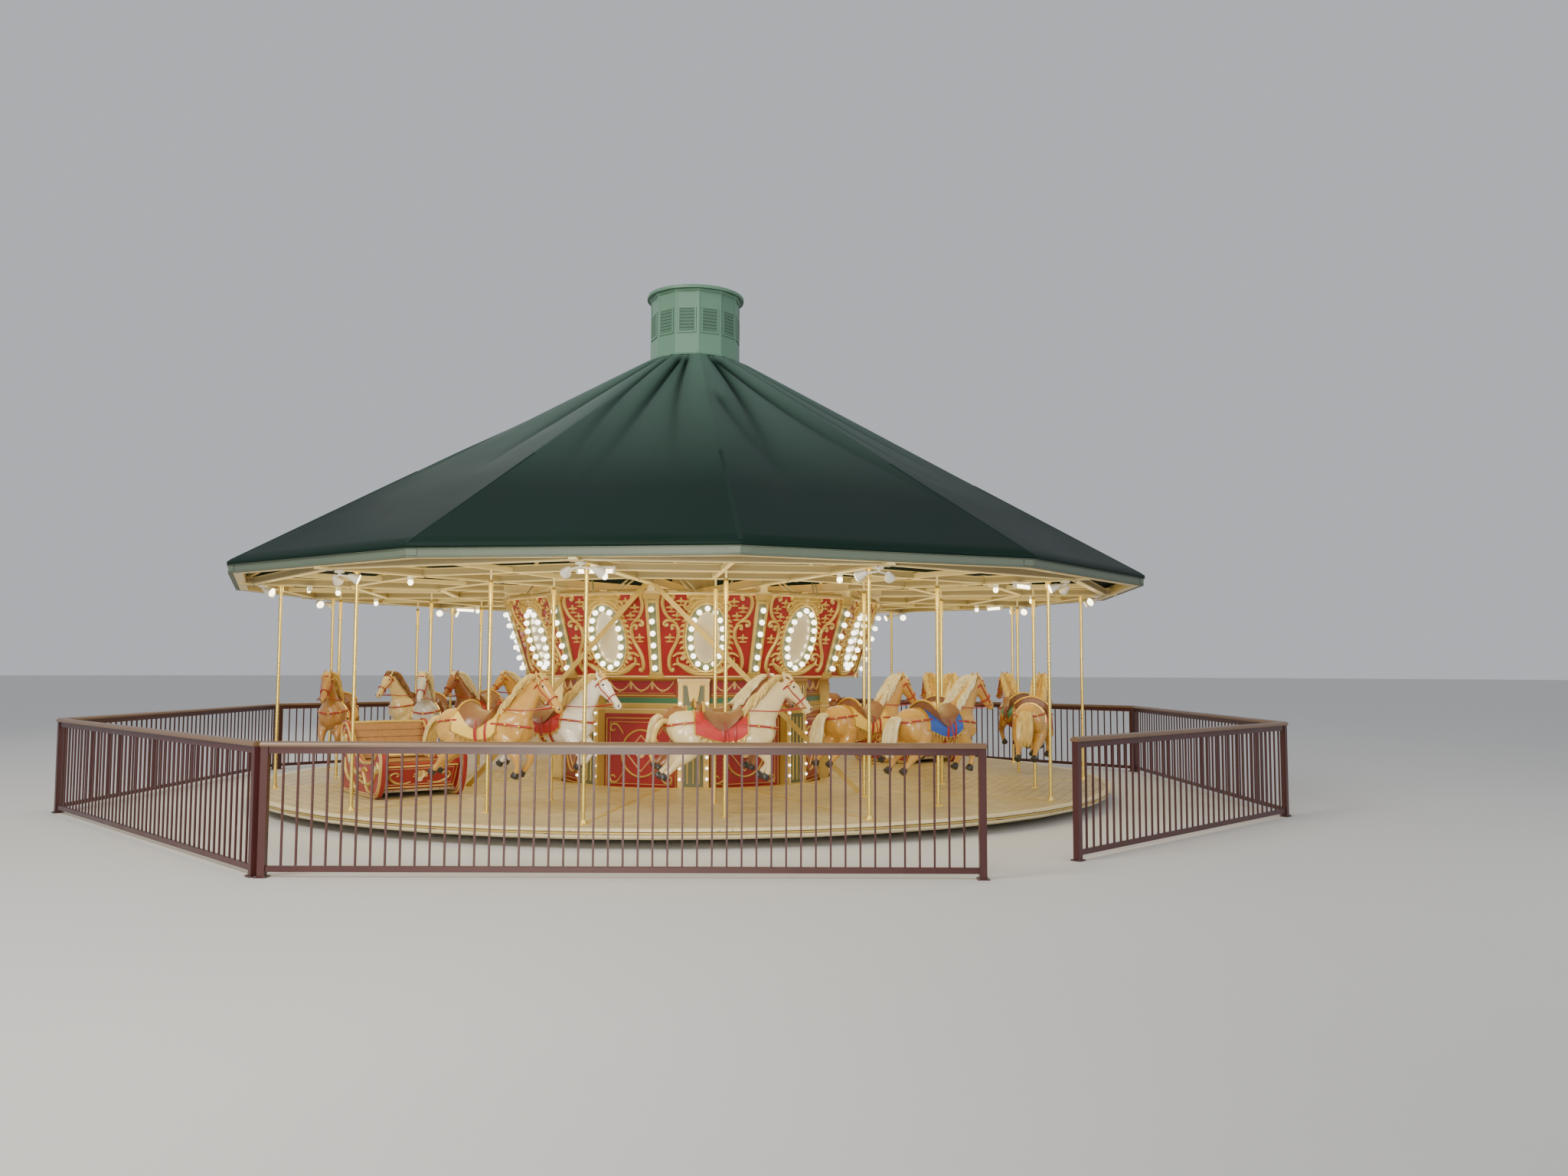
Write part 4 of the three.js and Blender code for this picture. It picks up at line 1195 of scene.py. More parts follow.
def dressFence(parts):
    half = layout["fenceApothem"] * math.tan(math.radians(eighth / 2)) - 0.023
    names = ["front", "front_right", "right", "back_right", "back", "back_left", "left", "front_left"]
    topRail = [(-0.045, 1.058), (0.045, 1.058), (0.045, 1.074), (0.036, 1.09), (0.018, 1.099), (0.0, 1.1),
               (-0.018, 1.099), (-0.036, 1.09), (-0.045, 1.074)]
    channel = [(-0.017, 1.0), (-0.017, 1.0575), (0.017, 1.0575), (0.017, 1.0), (0.013, 1.0), (0.013, 1.02),
               (-0.013, 1.02), (-0.013, 1.0)]
    lowRail = [(-0.015, 0.046), (-0.015, 0.092), (-0.012, 0.095), (0.012, 0.095), (0.015, 0.092),
               (0.015, 0.046)]
    rails, pickets = Shape(), []
    for number, name in enumerate(names):
        left = -half + layout["entranceWidth"] if name == "front_right" else -half
        matrix = placeMatrix(layout["fenceApothem"], number * eighth)
        one = Shape()
        one.addBar(topRail, left - 0.003, half + 0.003, "railTop")
        one.addBar(channel, left + 0.05, half - 0.05, "maroon")
        one.addBar(lowRail, left + 0.05, half - 0.05, "maroon")
        size = parts["postSize"] / 2
        for x in (left + 0.03, half - 0.03):
            one.addBox((x - size, -size, 0.008), (x + size, size, 1.0585), "maroon")
            one.addBox((x - 0.05, -0.05, 0.0), (x + 0.05, 0.05, 0.009), "maroon")
            for dx, dy in box4(-0.038, -0.038, 0.038, 0.038):
                one.addLathe([(0.0, 0.009), (0.008, 0.009), (0.008, 0.016), (0.0, 0.017)], 6, 0, "steel",
                             (x + dx, dy))
        rails.add(one, matrix)
        span = half - left - 0.12
        count = round(span / parts["pitch"])
        for k in range(1, count):
            point = matrix @ Vector((left + 0.06 + span * k / count, 0.0, parts["picketMiddle"]))
            pickets.append((point, (0.0, 0.0, math.radians(number * eighth)), unitSize))
    makePiece("fence_rails", rails, ["maroon", "railTop", "steel"], "base",
              ["fence_" + name for name in names], smoothBelow=25)
    setOut("fence_pickets", barTree("picket_tree", finishes["maroon"]), pickets,
           {"Width": parts["picket"], "Depth": parts["picket"], "Height": parts["picketHeight"]}, "base")


dressFence(fenceParts)
print("fence dressed")


# Lamps and fittings under the roof.

ceilingParts = {"floodRadius": 5.66, "spotRadius": 4.78, "tubeRadius": 5.12, "flange": 0.016}


# A pair of flood lamps on arms, at the outer end of a sweep.
def floodPair(low):
    one = Shape()
    one.addLathe([(0.0, low - 0.03), (0.05, low - 0.03), (0.055, low - 0.012), (0.055, low - 0.0008),
                  (0.0, low - 0.0008)], 16)
    one.addTube([(0.0, 0.0, low - 0.03), (0.0, 0.0, low - 0.06)], 0.014, 8)
    for side in (-1, 1):
        start, head = Vector((side * 0.02, 0.0, low - 0.055)), Vector((side * 0.14, 0.05, low - 0.075))
        one.addTube([start, (start + head) / 2, head], 0.011, 8)
        way = Vector((side * 0.55, 0.75, -0.36)).normalized()
        one.addTube([head + way * step for step in (-0.035, -0.01, 0.03, 0.075)],
                    [0.02, 0.034, 0.044, 0.058], 14)
        one.addTube([head + way * step for step in (0.0752, 0.083, 0.088)], [0.053, 0.05, 0.02], 14,
                    "floodGlow")
    return one


def dressCeiling(parts):
    lamps, spot, tube, low = Shape(), Shape(), Shape(), layout["frameBottom"]
    spot.addLathe([(0.0, low - 0.05), (0.03, low - 0.05), (0.036, low - 0.0008), (0.0, low - 0.0008)], 14)
    spot.addBlob((0.0, 0.0, low - 0.075), (0.032, 0.032, 0.036), 12, 8, "floodGlow")
    tube.addBox((-0.2, -0.03, low - 0.03), (0.2, 0.03, low - 0.0008))
    tube.addTube([(-0.18, 0.0, low - 0.052), (0.18, 0.0, low - 0.052)], 0.019, 12, "floodGlow")
    for x in (-0.19, 0.19):
        tube.addBox((x - 0.012, -0.022, low - 0.074), (x + 0.012, 0.022, low - 0.028))
    for number, angle in enumerate(cornerAngles):
        lamps.add(floodPair(low), placeMatrix(parts["floodRadius"], angle))
        lamps.add(spot, placeMatrix(parts["spotRadius"], angle))
        if number % 2:
            lamps.add(tube, placeMatrix(parts["tubeRadius"], angle))
    makePiece("ceiling_lamps", lamps, ["white", "floodGlow"], "machine")
    makePiece("ceiling_flanges", beamTrim(parts), ["creamPaint", "steel", "beamWebShade"], "machine",
              smoothBelow=20)
    makePiece("attic_brackets", atticBracket().spun(cornerAngles), ["creamPaint", "goldPaint"],
              "machine", smoothBelow=25)


# Flanges of the sweeps and ring beams, their webs in a darker paint that is painted shade, and bolted plates
# where they cross.
def beamTrim(parts):
    low, top, edge = layout["frameBottom"], layout["frameTop"], parts["flange"]
    sweep = Shape()
    for z in (low - 0.004, top):
        sweep.addBox((-0.052, -5.93, z), (0.052, -0.3, z + 0.004), "creamPaint")
    for side in (-1, 1):
        near, far = sorted((side * 0.0405, side * 0.042))
        # Painted shade on the sides of the sweeps.
        sweep.addBox((near, -5.9, low + edge), (far, -2.7, top - edge), "beamWebShade")
    for radius in layout["ringRadii"]:
        y = -(radius - 0.03)
        sweep.addBox((-0.1, y - 0.05, top + 0.001), (0.1, y + 0.05, top + 0.007), "creamPaint")
        sweep.addBox((-0.075, y - 0.045, low - 0.009), (0.075, y + 0.045, low - 0.0045), "creamPaint")
        for x in (-0.06, 0.06):
            for foot, head in ((top + 0.007, top + 0.017), (low - 0.017, low - 0.009)):
                sweep.addLathe([(0.0, foot), (0.012, foot), (0.012, head), (0.0, head)], 6, 0, "steel",
                               (x, y))
    trim = sweep.spun(cornerAngles)
    for radius in layout["ringRadii"]:
        for face, away in ((radius, 1), (radius - 0.06, -1)):
            web = sorted((face + away * 0.0006, face + away * 0.002))
            lip = sorted((face + away * 0.0006, face + away * 0.012))
            # Painted shade on the webs of the ring beams, between cream lips.
            trim.addLathe(box4(web[0], low + edge, web[1], top - edge), bays, cornerAngles[0], "beamWebShade")
            for z in (low + 0.0025, top - 0.012):
                trim.addLathe(box4(lip[0], z, lip[1], z + 0.008), bays, cornerAngles[0], "creamPaint")
    return trim


# A hanger bracket over a pilaster, with twin struts and a thin rod on each side of it.
def atticBracket():
    one, low = Shape(), layout["frameBottom"]
    one.addBox((-0.045, -2.668, 2.632), (0.045, -2.49, low - 0.005))
    one.addBox((-0.075, -2.68, 2.634), (0.075, -2.47, 2.642))
    one.addBox((-0.075, -2.68, low - 0.013), (0.075, -2.47, low - 0.0048))
    for side in (-1, 1):
        for shift in (0.0, 0.075):
            foot = Vector((side * (0.46 + shift), -2.5, 2.634))
            head = Vector((side * (0.3 + shift), -2.36, low + 0.07))
            one.addTube([foot, (foot + head) / 2, head], 0.013, 6)
        one.addTube([(side * 0.08, -2.62, 2.66), (side * 0.3, -2.56, 2.66), (side * 0.6, -2.46, 2.66)],
                    0.009, 6, "goldPaint")
    return one


dressCeiling(ceilingParts)
print("ceiling dressed")


# Horses. A torso row is (along, height, half width, half height); a neck row (along, height, depth, width).

horseParts = {
    "voxel": 0.0125, "faces": 4600, "maneLocks": 12, "tailLocks": 9, "seed": 7, "sides": 18,
    "torso": [(-0.6, 1.115, 0.03, 0.04), (-0.57, 1.115, 0.1, 0.11), (-0.5, 1.1, 0.16, 0.17),
              (-0.38, 1.075, 0.192, 0.205), (-0.22, 1.055, 0.19, 0.2), (-0.04, 1.04, 0.178, 0.19),
              (0.12, 1.04, 0.176, 0.196), (0.27, 1.055, 0.178, 0.215), (0.4, 1.08, 0.155, 0.205),
              (0.48, 1.1, 0.11, 0.16), (0.52, 1.11, 0.05, 0.09)],
    "neck": [(0.27, 1.1, 0.2, 0.12), (0.38, 1.25, 0.165, 0.088), (0.475, 1.375, 0.128, 0.07),
             (0.55, 1.475, 0.1, 0.058), (0.6, 1.54, 0.082, 0.05)],
    "head": [(0.0, 0.05, 0.043), (0.12, 0.082, 0.06), (0.3, 0.09, 0.065), (0.48, 0.07, 0.051),
             (0.66, 0.054, 0.042), (0.82, 0.05, 0.043), (0.93, 0.045, 0.04), (1.0, 0.026, 0.026)],
    "headStart": (0.6, 0, 1.575), "headEnd": (0.885, 0, 1.25),
    "foreLegs": [
        [(0.28, 0.1, 1.0), (0.36, 0.108, 0.905), (0.455, 0.104, 0.815), (0.45, 0.1, 0.73),
         (0.405, 0.096, 0.665), (0.375, 0.094, 0.63)],
        [(0.25, -0.1, 1.0), (0.33, -0.108, 0.9), (0.415, -0.104, 0.8), (0.44, -0.1, 0.72),
         (0.43, -0.096, 0.655), (0.415, -0.094, 0.625)],
    ],
    "hindLegs": [
        [(-0.37, 0.1, 1.02), (-0.4, 0.112, 0.89), (-0.525, 0.104, 0.775), (-0.585, 0.1, 0.71),
         (-0.635, 0.097, 0.655), (-0.655, 0.096, 0.635)],
        [(-0.34, -0.1, 1.02), (-0.36, -0.112, 0.88), (-0.475, -0.104, 0.765), (-0.535, -0.1, 0.7),
         (-0.59, -0.097, 0.65), (-0.61, -0.096, 0.63)],
    ],
    "foreRadii": [0.092, 0.07, 0.05, 0.032, 0.03, 0.033],
    "hindRadii": [0.12, 0.095, 0.055, 0.034, 0.031, 0.033],
    "foreKnee": (0.045, 0.042, 0.05), "hindKnee": (0.05, 0.042, 0.055), "fetlock": (0.036, 0.034, 0.036),
}


# A row of numbers between the two rows of a table that the place lies between.
def rowAt(rows, place):
    a, b = next(((p, q) for p, q in zip(rows, rows[1:]) if place <= q[0]), (rows[-2], rows[-1]))
    t = (place - a[0]) / (b[0] - a[0])
    return [p + (q - p) * t for p, q in zip(a[1:], b[1:])]


def torsoAt(x):
    rows = horseParts["torso"]
    return rowAt(rows, min(max(x, rows[0][0]), rows[-1][0]))


def torsoPoint(x, angle, offset):
    z, wide, high = torsoAt(x)
    a = math.radians(angle)
    return (x, (wide + offset) * math.sin(a), z + (high + offset) * math.cos(a))


# A strap from one flank round the breast or the rump to the other flank.
def skinLine(start, end, flankHeight, endHeight):
    line = []
    for k in range(21):
        t = math.radians(-90 + 9 * k)
        x = start + (end - start) * math.cos(t)
        height = endHeight + (flankHeight - endHeight) * math.sin(t) ** 2
        z, wide, high = torsoAt(x)
        girth = wide * math.sqrt(max(0.0, 1 - ((height - z) / high) ** 2))
        line.append((x, math.copysign(girth + 0.004, math.sin(t)) if k != 10 else 0.0, height))
    return line


def headPoint(share, angle, offset):
    deep, wide = (size + offset for size in rowAt(horseParts["head"], share))
    start, end = Vector(horseParts["headStart"]), Vector(horseParts["headEnd"])
    way = (end - start).normalized()
    front, a = Vector((-way.z, 0.0, way.x)), math.radians(angle)
    point = start + (end - start) * share + front * deep * math.cos(a)
    return point + Vector((0, 1, 0)) * wide * math.sin(a)


# The carved body before smoothing: overlapping forms that the voxel remesh joins.
def horseForms(parts):
    forms, loops = Shape(), []
    angles = [360 * k / parts["sides"] for k in range(parts["sides"])]
    forms.addLoft([[torsoPoint(x, a, 0.0) for a in angles] for x, *rest in parts["torso"]])
    for i, (x, z, deep, wide) in enumerate(parts["neck"]):
        (x0, z0, *_), (x1, z1, *_) = neighbours(parts["neck"], i, False)
        way = Vector((x1 - x0, 0, z1 - z0)).normalized()
        front = Vector((way.z, 0.0, -way.x))
        loops.append([Vector((x, 0, z)) + front * deep * math.cos(a) + Vector((0, 1, 0)) * wide * math.sin(a)
                      for a in map(math.radians, angles)])
    forms.addLoft(loops)
    forms.addLoft([[headPoint(share, a, 0.0) for a in angles] for share, *rest in parts["head"]])
    for side in (-1, 1):
        forms.addTube([(0.605, side * 0.03, 1.6), (0.603, side * 0.038, 1.645), (0.6, side * 0.042, 1.69)],
                      [0.022, 0.02, 0.005], 8)
        forms.addBlob(headPoint(0.2, side * 58, -0.006), (0.03, 0.02, 0.035), 10, 8)
        forms.addBlob((0.42, side * 0.105, 1.03), (0.075, 0.05, 0.085), 12, 8)
        forms.addBlob((-0.44, side * 0.115, 1.05), (0.12, 0.075, 0.13), 12, 8)
    for end in ("fore", "hind"):
        for line in parts[end + "Legs"]:
            forms.addTube(smoothLine(line, 4), parts[end + "Radii"], 12)
            forms.addBlob(line[2], parts[end + "Knee"], 10, 7)
            forms.addBlob(line[4], parts["fetlock"], 10, 7)
    return forms


# Joins the forms into one skin and brings it down to the wanted number of faces.
def remeshed(name, forms, voxel, faces):
    holder = newObject(name, meshOf(name, forms, []))
    join = holder.modifiers.new("join", "REMESH")
    join.mode = "VOXEL"
    join.voxel_size = voxel
    even = holder.modifiers.new("even", "SMOOTH")
    even.factor = 0.5
    even.iterations = 7
    graph = bpy.context.evaluated_depsgraph_get()
    triangles = len(holder.evaluated_get(graph).data.polygons) * 2
    fewer = holder.modifiers.new("fewer", "DECIMATE")
    fewer.ratio = min(1.0, faces / max(1, triangles))
    graph = bpy.context.evaluated_depsgraph_get()
    made = bpy.data.meshes.new_from_object(holder.evaluated_get(graph))
    bpy.data.objects.remove(holder)
    skin = Shape()
    skin.points = [tuple(v.co) for v in made.vertices]
    skin.faces = [tuple(p.vertices) for p in made.polygons]
    skin.marks = ["coat"] * len(skin.faces)
    return skin


# Mane, forelock and tail, as locks of hair; the mane falls further on one side.
def addHair(whole, parts, variant):
    maker = random.Random(parts["seed"] + variant)
    crest = smoothLine([(0.33, 1.36), (0.4, 1.435), (0.47, 1.51), (0.54, 1.585), (0.592, 1.632)], 6)
    for i in range(parts["maneLocks"]):
        x, z = crest[int(i * (len(crest) - 1) / (parts["maneLocks"] - 1))]
        x, z = x - 0.005, z - 0.05
        for side in (-1, 1):
            long = maker.uniform(0.85, 1.15) * (1.15 if side == (1 if variant else -1) else 0.8)
            drop = maker.uniform(-0.02, 0.02)
            line = [(x, side * 0.01, z + 0.035), (x - 0.05 * long, side * 0.055, z + 0.04),
                    (x - 0.12 * long, side * 0.09, z - 0.015 + drop),
                    (x - 0.17 * long, side * 0.1, z - 0.085 + drop),
                    (x - 0.19 * long, side * 0.112, z - 0.15 * long + drop)]
            whole.addTube(smoothLine(line, 2), [0.016, 0.024, 0.026, 0.02, 0.005], 6, "mane")
    for side in (-1, 0, 1):
        line = [(0.605, side * 0.01, 1.635), (0.655, side * 0.022, 1.63), (0.69, side * 0.03, 1.575),
                (0.705, side * 0.032, 1.52)]
        whole.addTube(smoothLine(line, 2), [0.014, 0.02, 0.017, 0.004], 6, "mane")
    for i in range(parts["tailLocks"]):
        across = (i - (parts["tailLocks"] - 1) / 2) * 0.016
        wave = maker.uniform(-0.02, 0.02)
        line = [(-0.57, across * 0.3, 1.15), (-0.64, across * 0.8, 1.165 + wave * 0.3),
                (-0.705, across * 1.1, 1.09 + wave), (-0.735, across * 1.3, 0.96),
                (-0.75 + wave * 0.4, across * 1.15, 0.84), (-0.725 + wave, across * 0.8, 0.745 + abs(wave))]
        whole.addTube(smoothLine(line, 3), [0.02, 0.027, 0.028, 0.026, 0.018, 0.004], 6, "mane")


# A shell on the horse's back: each place is (along, degrees down each side, lift).
def addShell(shape, places, low, high, mark):
    loops = []
    for x, reach, lift in places:
        angles = [-reach + 2 * reach * k / 14 for k in range(15)]
        over = [torsoPoint(x, a, high + lift) for a in angles]
        under = [torsoPoint(x, a, low) for a in reversed(angles)]
        loops.append(over + under)
    shape.addLoft(loops, mark)


# The blanket with its gilt edges and fringe, and the saddle.
def addSaddle(whole):
    reaches = [(-0.33, 84), (-0.31, 98), (-0.2, 104), (-0.08, 112), (0.06, 112), (0.15, 104), (0.21, 92),
               (0.225, 80)]
    addShell(whole, [(x, reach, 0) for x, reach in reaches], -0.01, 0.011, "blanket")
    for x0, x1 in ((-0.335, -0.318), (0.212, 0.228)):
        addShell(whole, [(x0, 96, 0), (x1, 96, 0)], -0.006, 0.017, "gold")
    edge = [(-0.31, 98), (-0.2, 105), (-0.08, 112.5), (0.06, 112.5), (0.15, 105), (0.21, 93)]
    for side in (-1, 1):
        whole.addTube(smoothLine([torsoPoint(x, side * a, 0.008) for x, a in edge], 3), 0.011, 6, "gold")
        for k in range(9):
            x, y, z = torsoPoint(-0.27 + k * 0.056, side * (100 + 12 * math.sin(math.pi * k / 8)), 0.012)
            fringe = [(x, y, z), (x, y, z - 0.025), (x, y * 0.99, z - 0.05)]
            whole.addTube(fringe, [0.006, 0.011, 0.005], 5, "gold")
    seat = []
    for k in range(11):
        share = k / 10
        lift = 0.07 * max(0.0, 1 - share * 3.6) ** 1.4 + 0.05 * max(0.0, share * 3.2 - 2.2) ** 1.5
        seat.append((-0.235 + k * 0.039, 46 + 34 * math.sin(math.pi * share) ** 1.3, lift + 0.006))
    addShell(whole, seat, 0.0, 0.026, "saddle")
    whole.addTube(smoothLine([torsoPoint(-0.235, a, 0.1) for a in (-46, -25, 0, 25, 46)], 3), 0.014, 7,
                  "gold")


# Girths, stirrups, straps, bridle, eyes and reins.
def addHarness(whole):
    for x, size in ((-0.03, 0.013), (0.09, 0.01)):
        whole.addTube([torsoPoint(x, a, 0.013) for a in range(0, 360, 15)], size, 6, "strap", ringed=True,
                      flat=1.5)
    for side in (-1, 1):
        strap = [torsoPoint(-0.02, side * 60, 0.036), torsoPoint(0.0, side * 85, 0.04),
                 (0.02, side * 0.222, 0.93)]
        whole.addTube(smoothLine(strap, 3), 0.007, 6, "strap")
        whole.addTube([(x, side * 0.225, z) for x, z in oval(0.032, -0.036, 0.9, 12, 0.02)], 0.006, 6,
                      "gold", ringed=True)
    for line in (skinLine(0.15, 0.535, 1.13, 1.09), skinLine(-0.27, -0.612, 1.16, 1.12)):
        whole.addTube(line, 0.012, 6, "strap", flat=1.5)
        for k in (3, 6, 10, 14, 17):
            whole.addBlob(line[k], (0.02, 0.02, 0.02), 8, 5, "gold")
    for share, size in ((0.62, 0.0075), (0.13, 0.008)):
        whole.addTube([headPoint(share, a, 0.006) for a in range(0, 360, 20)], size, 6, "strap", ringed=True,
                      flat=1.4)
    for side in (-1, 1):
        cheek = [(0.13, 95), (0.3, 100), (0.48, 98), (0.62, 96), (0.8, 105)]
        whole.addTube([headPoint(share, side * a, 0.006) for share, a in cheek], 0.0065, 6, "strap")
        for share, a, offset, size, across, down, mark in (
                (0.8, 105, 0.008, (0.017, 0.008, 0.017), 8, 6, "gold"),
                (0.13, 80, 0.01, (0.02, 0.012, 0.02), 8, 6, "gold"),
                (0.25, 66, -0.004, (0.0155, 0.012, 0.0155), 10, 7, "eye"),
                (0.93, 62, -0.004, (0.011, 0.007, 0.014), 8, 6, "eye")):
            whole.addBlob(headPoint(share, side * a, offset), size, across, down, mark)
        rein = [tuple(headPoint(0.8, side * 105, 0.012)), (0.72, side * 0.1, 1.29),
                (0.52, side * 0.145, 1.27), (0.3, side * 0.13, 1.275), (0.14, side * 0.045, 1.275)]
        whole.addTube(smoothLine(rein, 5), 0.0065, 5, "strap")


def horseShape(parts, variant):
    whole = Shape()
    whole.add(remeshed("horse_skin_%d" % variant, horseForms(parts), parts["voxel"], parts["faces"]))
    addHair(whole, parts, variant)
    addSaddle(whole)
    addHarness(whole)
    for line in parts["foreLegs"] + parts["hindLegs"]:
        last, before = Vector(line[-1]), Vector(line[-2])
        way = (last - before).normalized()
        whole.addTube([last - way * 0.012, last + way * 0.004, last + way * 0.042, last + way * 0.05],
                      [0.03, 0.037, 0.046, 0.04], 12, "hoof")
    return whole


coats = {
    name: makeFinish("coat_" + name, dark, light, patch=patch, rough=rough, coat=0.5, grain=90, bump=0.08)
    for name, dark, light, patch, rough in (
        ("cream", (0.62, 0.45, 0.19), (0.8, 0.66, 0.36), 6, 0.3),
        ("honey", (0.44, 0.2, 0.03), (0.66, 0.38, 0.08), 6, 0.3),
        ("chestnut", (0.2, 0.07, 0.022), (0.33, 0.13, 0.045), 6, 0.3),
        ("tan", (0.3, 0.13, 0.03), (0.46, 0.24, 0.065), 6, 0.3),
        ("white", (0.78, 0.74, 0.66), (0.88, 0.86, 0.8), 5, 0.28),
        ("grey", (0.34, 0.34, 0.33), (0.72, 0.71, 0.68), 16, 0.3))
}
manes = {
    name: makeFinish("mane_" + name, dark, light, patch=12, rough=0.4, coat=0.2, stretch=(2.4, 2.4, 0.6))
    for name, dark, light in (
        ("flame", (0.22, 0.05, 0.005), (1.0, 0.8, 0.24)), ("straw", (0.4, 0.24, 0.06), (1.0, 0.95, 0.6)),
        ("brown", (0.05, 0.015, 0.005), (0.36, 0.18, 0.07)))
}
blankets = {
    name: makeFinish("blanket_" + name, dark, light, patch=18, rough=0.4, coat=0.3)
    for name, dark, light in (
        ("red", (0.42, 0.02, 0.02), (0.55, 0.04, 0.03)), ("blue", (0.02, 0.07, 0.32), (0.04, 0.12, 0.45)),
        ("green", (0.02, 0.18, 0.08), (0.04, 0.27, 0.13)), ("yellow", (0.8, 0.5, 0.06), (0.9, 0.62, 0.12)))
}
finishes.update({
    "saddle": makeFinish("saddle_brown", (0.16, 0.06, 0.025), (0.26, 0.11, 0.045), patch=12, rough=0.35,
                         coat=0.3, wear=(0.09, 0.03, 0.012)),
    "strap": makeFinish("strap_red", (0.3, 0.02, 0.015), (0.42, 0.04, 0.03), patch=20, rough=0.4),
    "hoof": makeFinish("hoof_black", (0.02, 0.018, 0.016), (0.05, 0.045, 0.04), patch=12, rough=0.35),
    "eye": makeFinish("eye_black", (0.01, 0.008, 0.006), (0.02, 0.015, 0.01), patch=20, rough=0.12,
                      coat=0.6),
})
horseFinishes = ["coat", "mane", "saddle", "blanket", "gold", "hoof", "eye", "strap"]
# Coat, mane and blanket of each horse, bay by bay from the one nearest the front.
horsePalette = {
    "outer": ["cream flame red", "honey straw blue", "honey flame red", "tan flame green",
              "chestnut brown yellow", "grey straw blue", "honey straw red", "cream brown green",
              "tan flame yellow", "honey flame yellow"],
    "inner": ["chestnut straw green", "honey straw yellow", "cream flame blue", "honey flame red",
              "cream straw blue", "tan brown green", "white flame yellow", "chestnut straw red",
              "grey straw green", "white flame red"],
}


# Coat, mane and blanket are empty on the two templates, and each horse gets its own.
def dressHorses(parts):
    templates = [meshOf("horse_template_%d" % variant, horseShape(parts, variant), horseFinishes, 55)
                 for variant in (0, 1)]
    for row, bay in horsePlaces:
        name = horseName(row, bay)
        mesh = templates[(bay + (row == "inner")) % 2].copy()
        mesh.name = "carved_" + name
        mesh.transform(horseMatrix(row, bay))
        coat, mane, blanket = horsePalette[row][horseBays.index(bay)].split()
        used = {**finishes, "coat": coats[coat], "mane": manes[mane], "blanket": blankets[blanket]}
        for k, finish in enumerate(horseFinishes):
            mesh.materials[k] = used[finish]
        placePiece("carved_" + name, mesh, frame["nodes"][name]["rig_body"], [name])
    for mesh in templates:
        bpy.data.meshes.remove(mesh)


dressHorses(horseParts)
print("horses carved")


# Chariots.

chariotParts = {
    "outline": [(-0.62, 0.2005), (-0.1, 0.2005), (0.54, 0.2005), (0.7, 0.33), (0.75, 0.5), (0.755, 0.66),
                (0.7, 0.77), (0.6, 0.74), (0.47, 0.63), (0.27, 0.6), (0.06, 0.605), (-0.12, 0.68),
                (-0.27, 0.78), (-0.4, 0.93), (-0.52, 1.05), (-0.63, 1.055), (-0.7, 0.97), (-0.68, 0.8),
                (-0.645, 0.62), (-0.66, 0.4)],
    "scrolls": [
        ([(-0.53, 0.93), (-0.58, 0.86), (-0.53, 0.8), (-0.47, 0.84), (-0.49, 0.89), (-0.44, 0.72),
          (-0.3, 0.56), (-0.1, 0.46), (0.12, 0.42)], [0.02, 0.03, 0.034, 0.03, 0.024, 0.04, 0.05, 0.044,
                                                      0.02]),
        ([(0.6, 0.62), (0.65, 0.56), (0.6, 0.5), (0.54, 0.53), (0.56, 0.58), (0.5, 0.44), (0.36, 0.36),
          (0.18, 0.36), (0.0, 0.4)], [0.02, 0.028, 0.032, 0.028, 0.022, 0.036, 0.044, 0.036, 0.018]),
        ([(-0.5, 0.62), (-0.47, 0.48), (-0.36, 0.38), (-0.2, 0.34), (-0.12, 0.28), (-0.2, 0.245),
          (-0.26, 0.28)],
         [0.018, 0.034, 0.038, 0.034, 0.028, 0.026, 0.02]),
        ([(0.28, 0.5), (0.2, 0.54), (0.13, 0.5), (0.17, 0.46), (0.3, 0.29), (0.44, 0.27), (0.46, 0.32)],
         [0.016, 0.028, 0.028, 0.026, 0.03, 0.026, 0.02]),
    ],
    "studs": [(-0.52, 0.85, 0.022), (0.595, 0.555, 0.02), (0.0, 0.5, 0.03), (-0.3, 0.6, 0.03)],
    "sideY": 0.48, "thickness": 0.045,
}


# One side board with its borders, and with scrolls, a shell and studs on its outer face.
def addSideBoard(whole, parts, outline, side):
    y, half = side * parts["sideY"], parts["thickness"] / 2
    whole.addLoft([[(u, y + face * half, z) for u, z in outline] for face in (-1, 1)], "scarlet")
    for face in (-1, 1):
        def place(u, z, h, face=face):
            return (u, y + face * (half + h), z)

        for wide, high, level, width, rise, mark in ((0.045, 0.06, 0.5, 0.03, 0.016, "goldPaint"),
                                                     (0.12, 0.16, 0.48, 0.012, 0.009, "paleGold")):
            border = [(u - u * wide, z + (level - z) * high) for u, z in outline]
            whole.addRidge(border, width, rise, place, mark, ringed=True)
        if face != side:
            continue
        for line, widths in parts["scrolls"]:
            whole.addRidge(smoothLine(line, 4), widths, 0.026, place, "goldPaint")
        for k in range(7):
            angle = math.radians(-60 + k * 20)
            tip = (-0.3 + 0.12 * math.sin(angle), 0.66 + 0.14 * math.cos(angle))
            line = [(-0.3, 0.6), ((-0.3 + tip[0]) / 2 + 0.008, (0.6 + tip[1]) / 2), tip]
            whole.addRidge(smoothLine(line, 3), [0.012, 0.03, 0.008], 0.02, place, "paleGold")
        for u, z, size in parts["studs"]:
            whole.addPlate(oval(size, size, z, 14, u), 0.0, 0.03, place, "mirror")


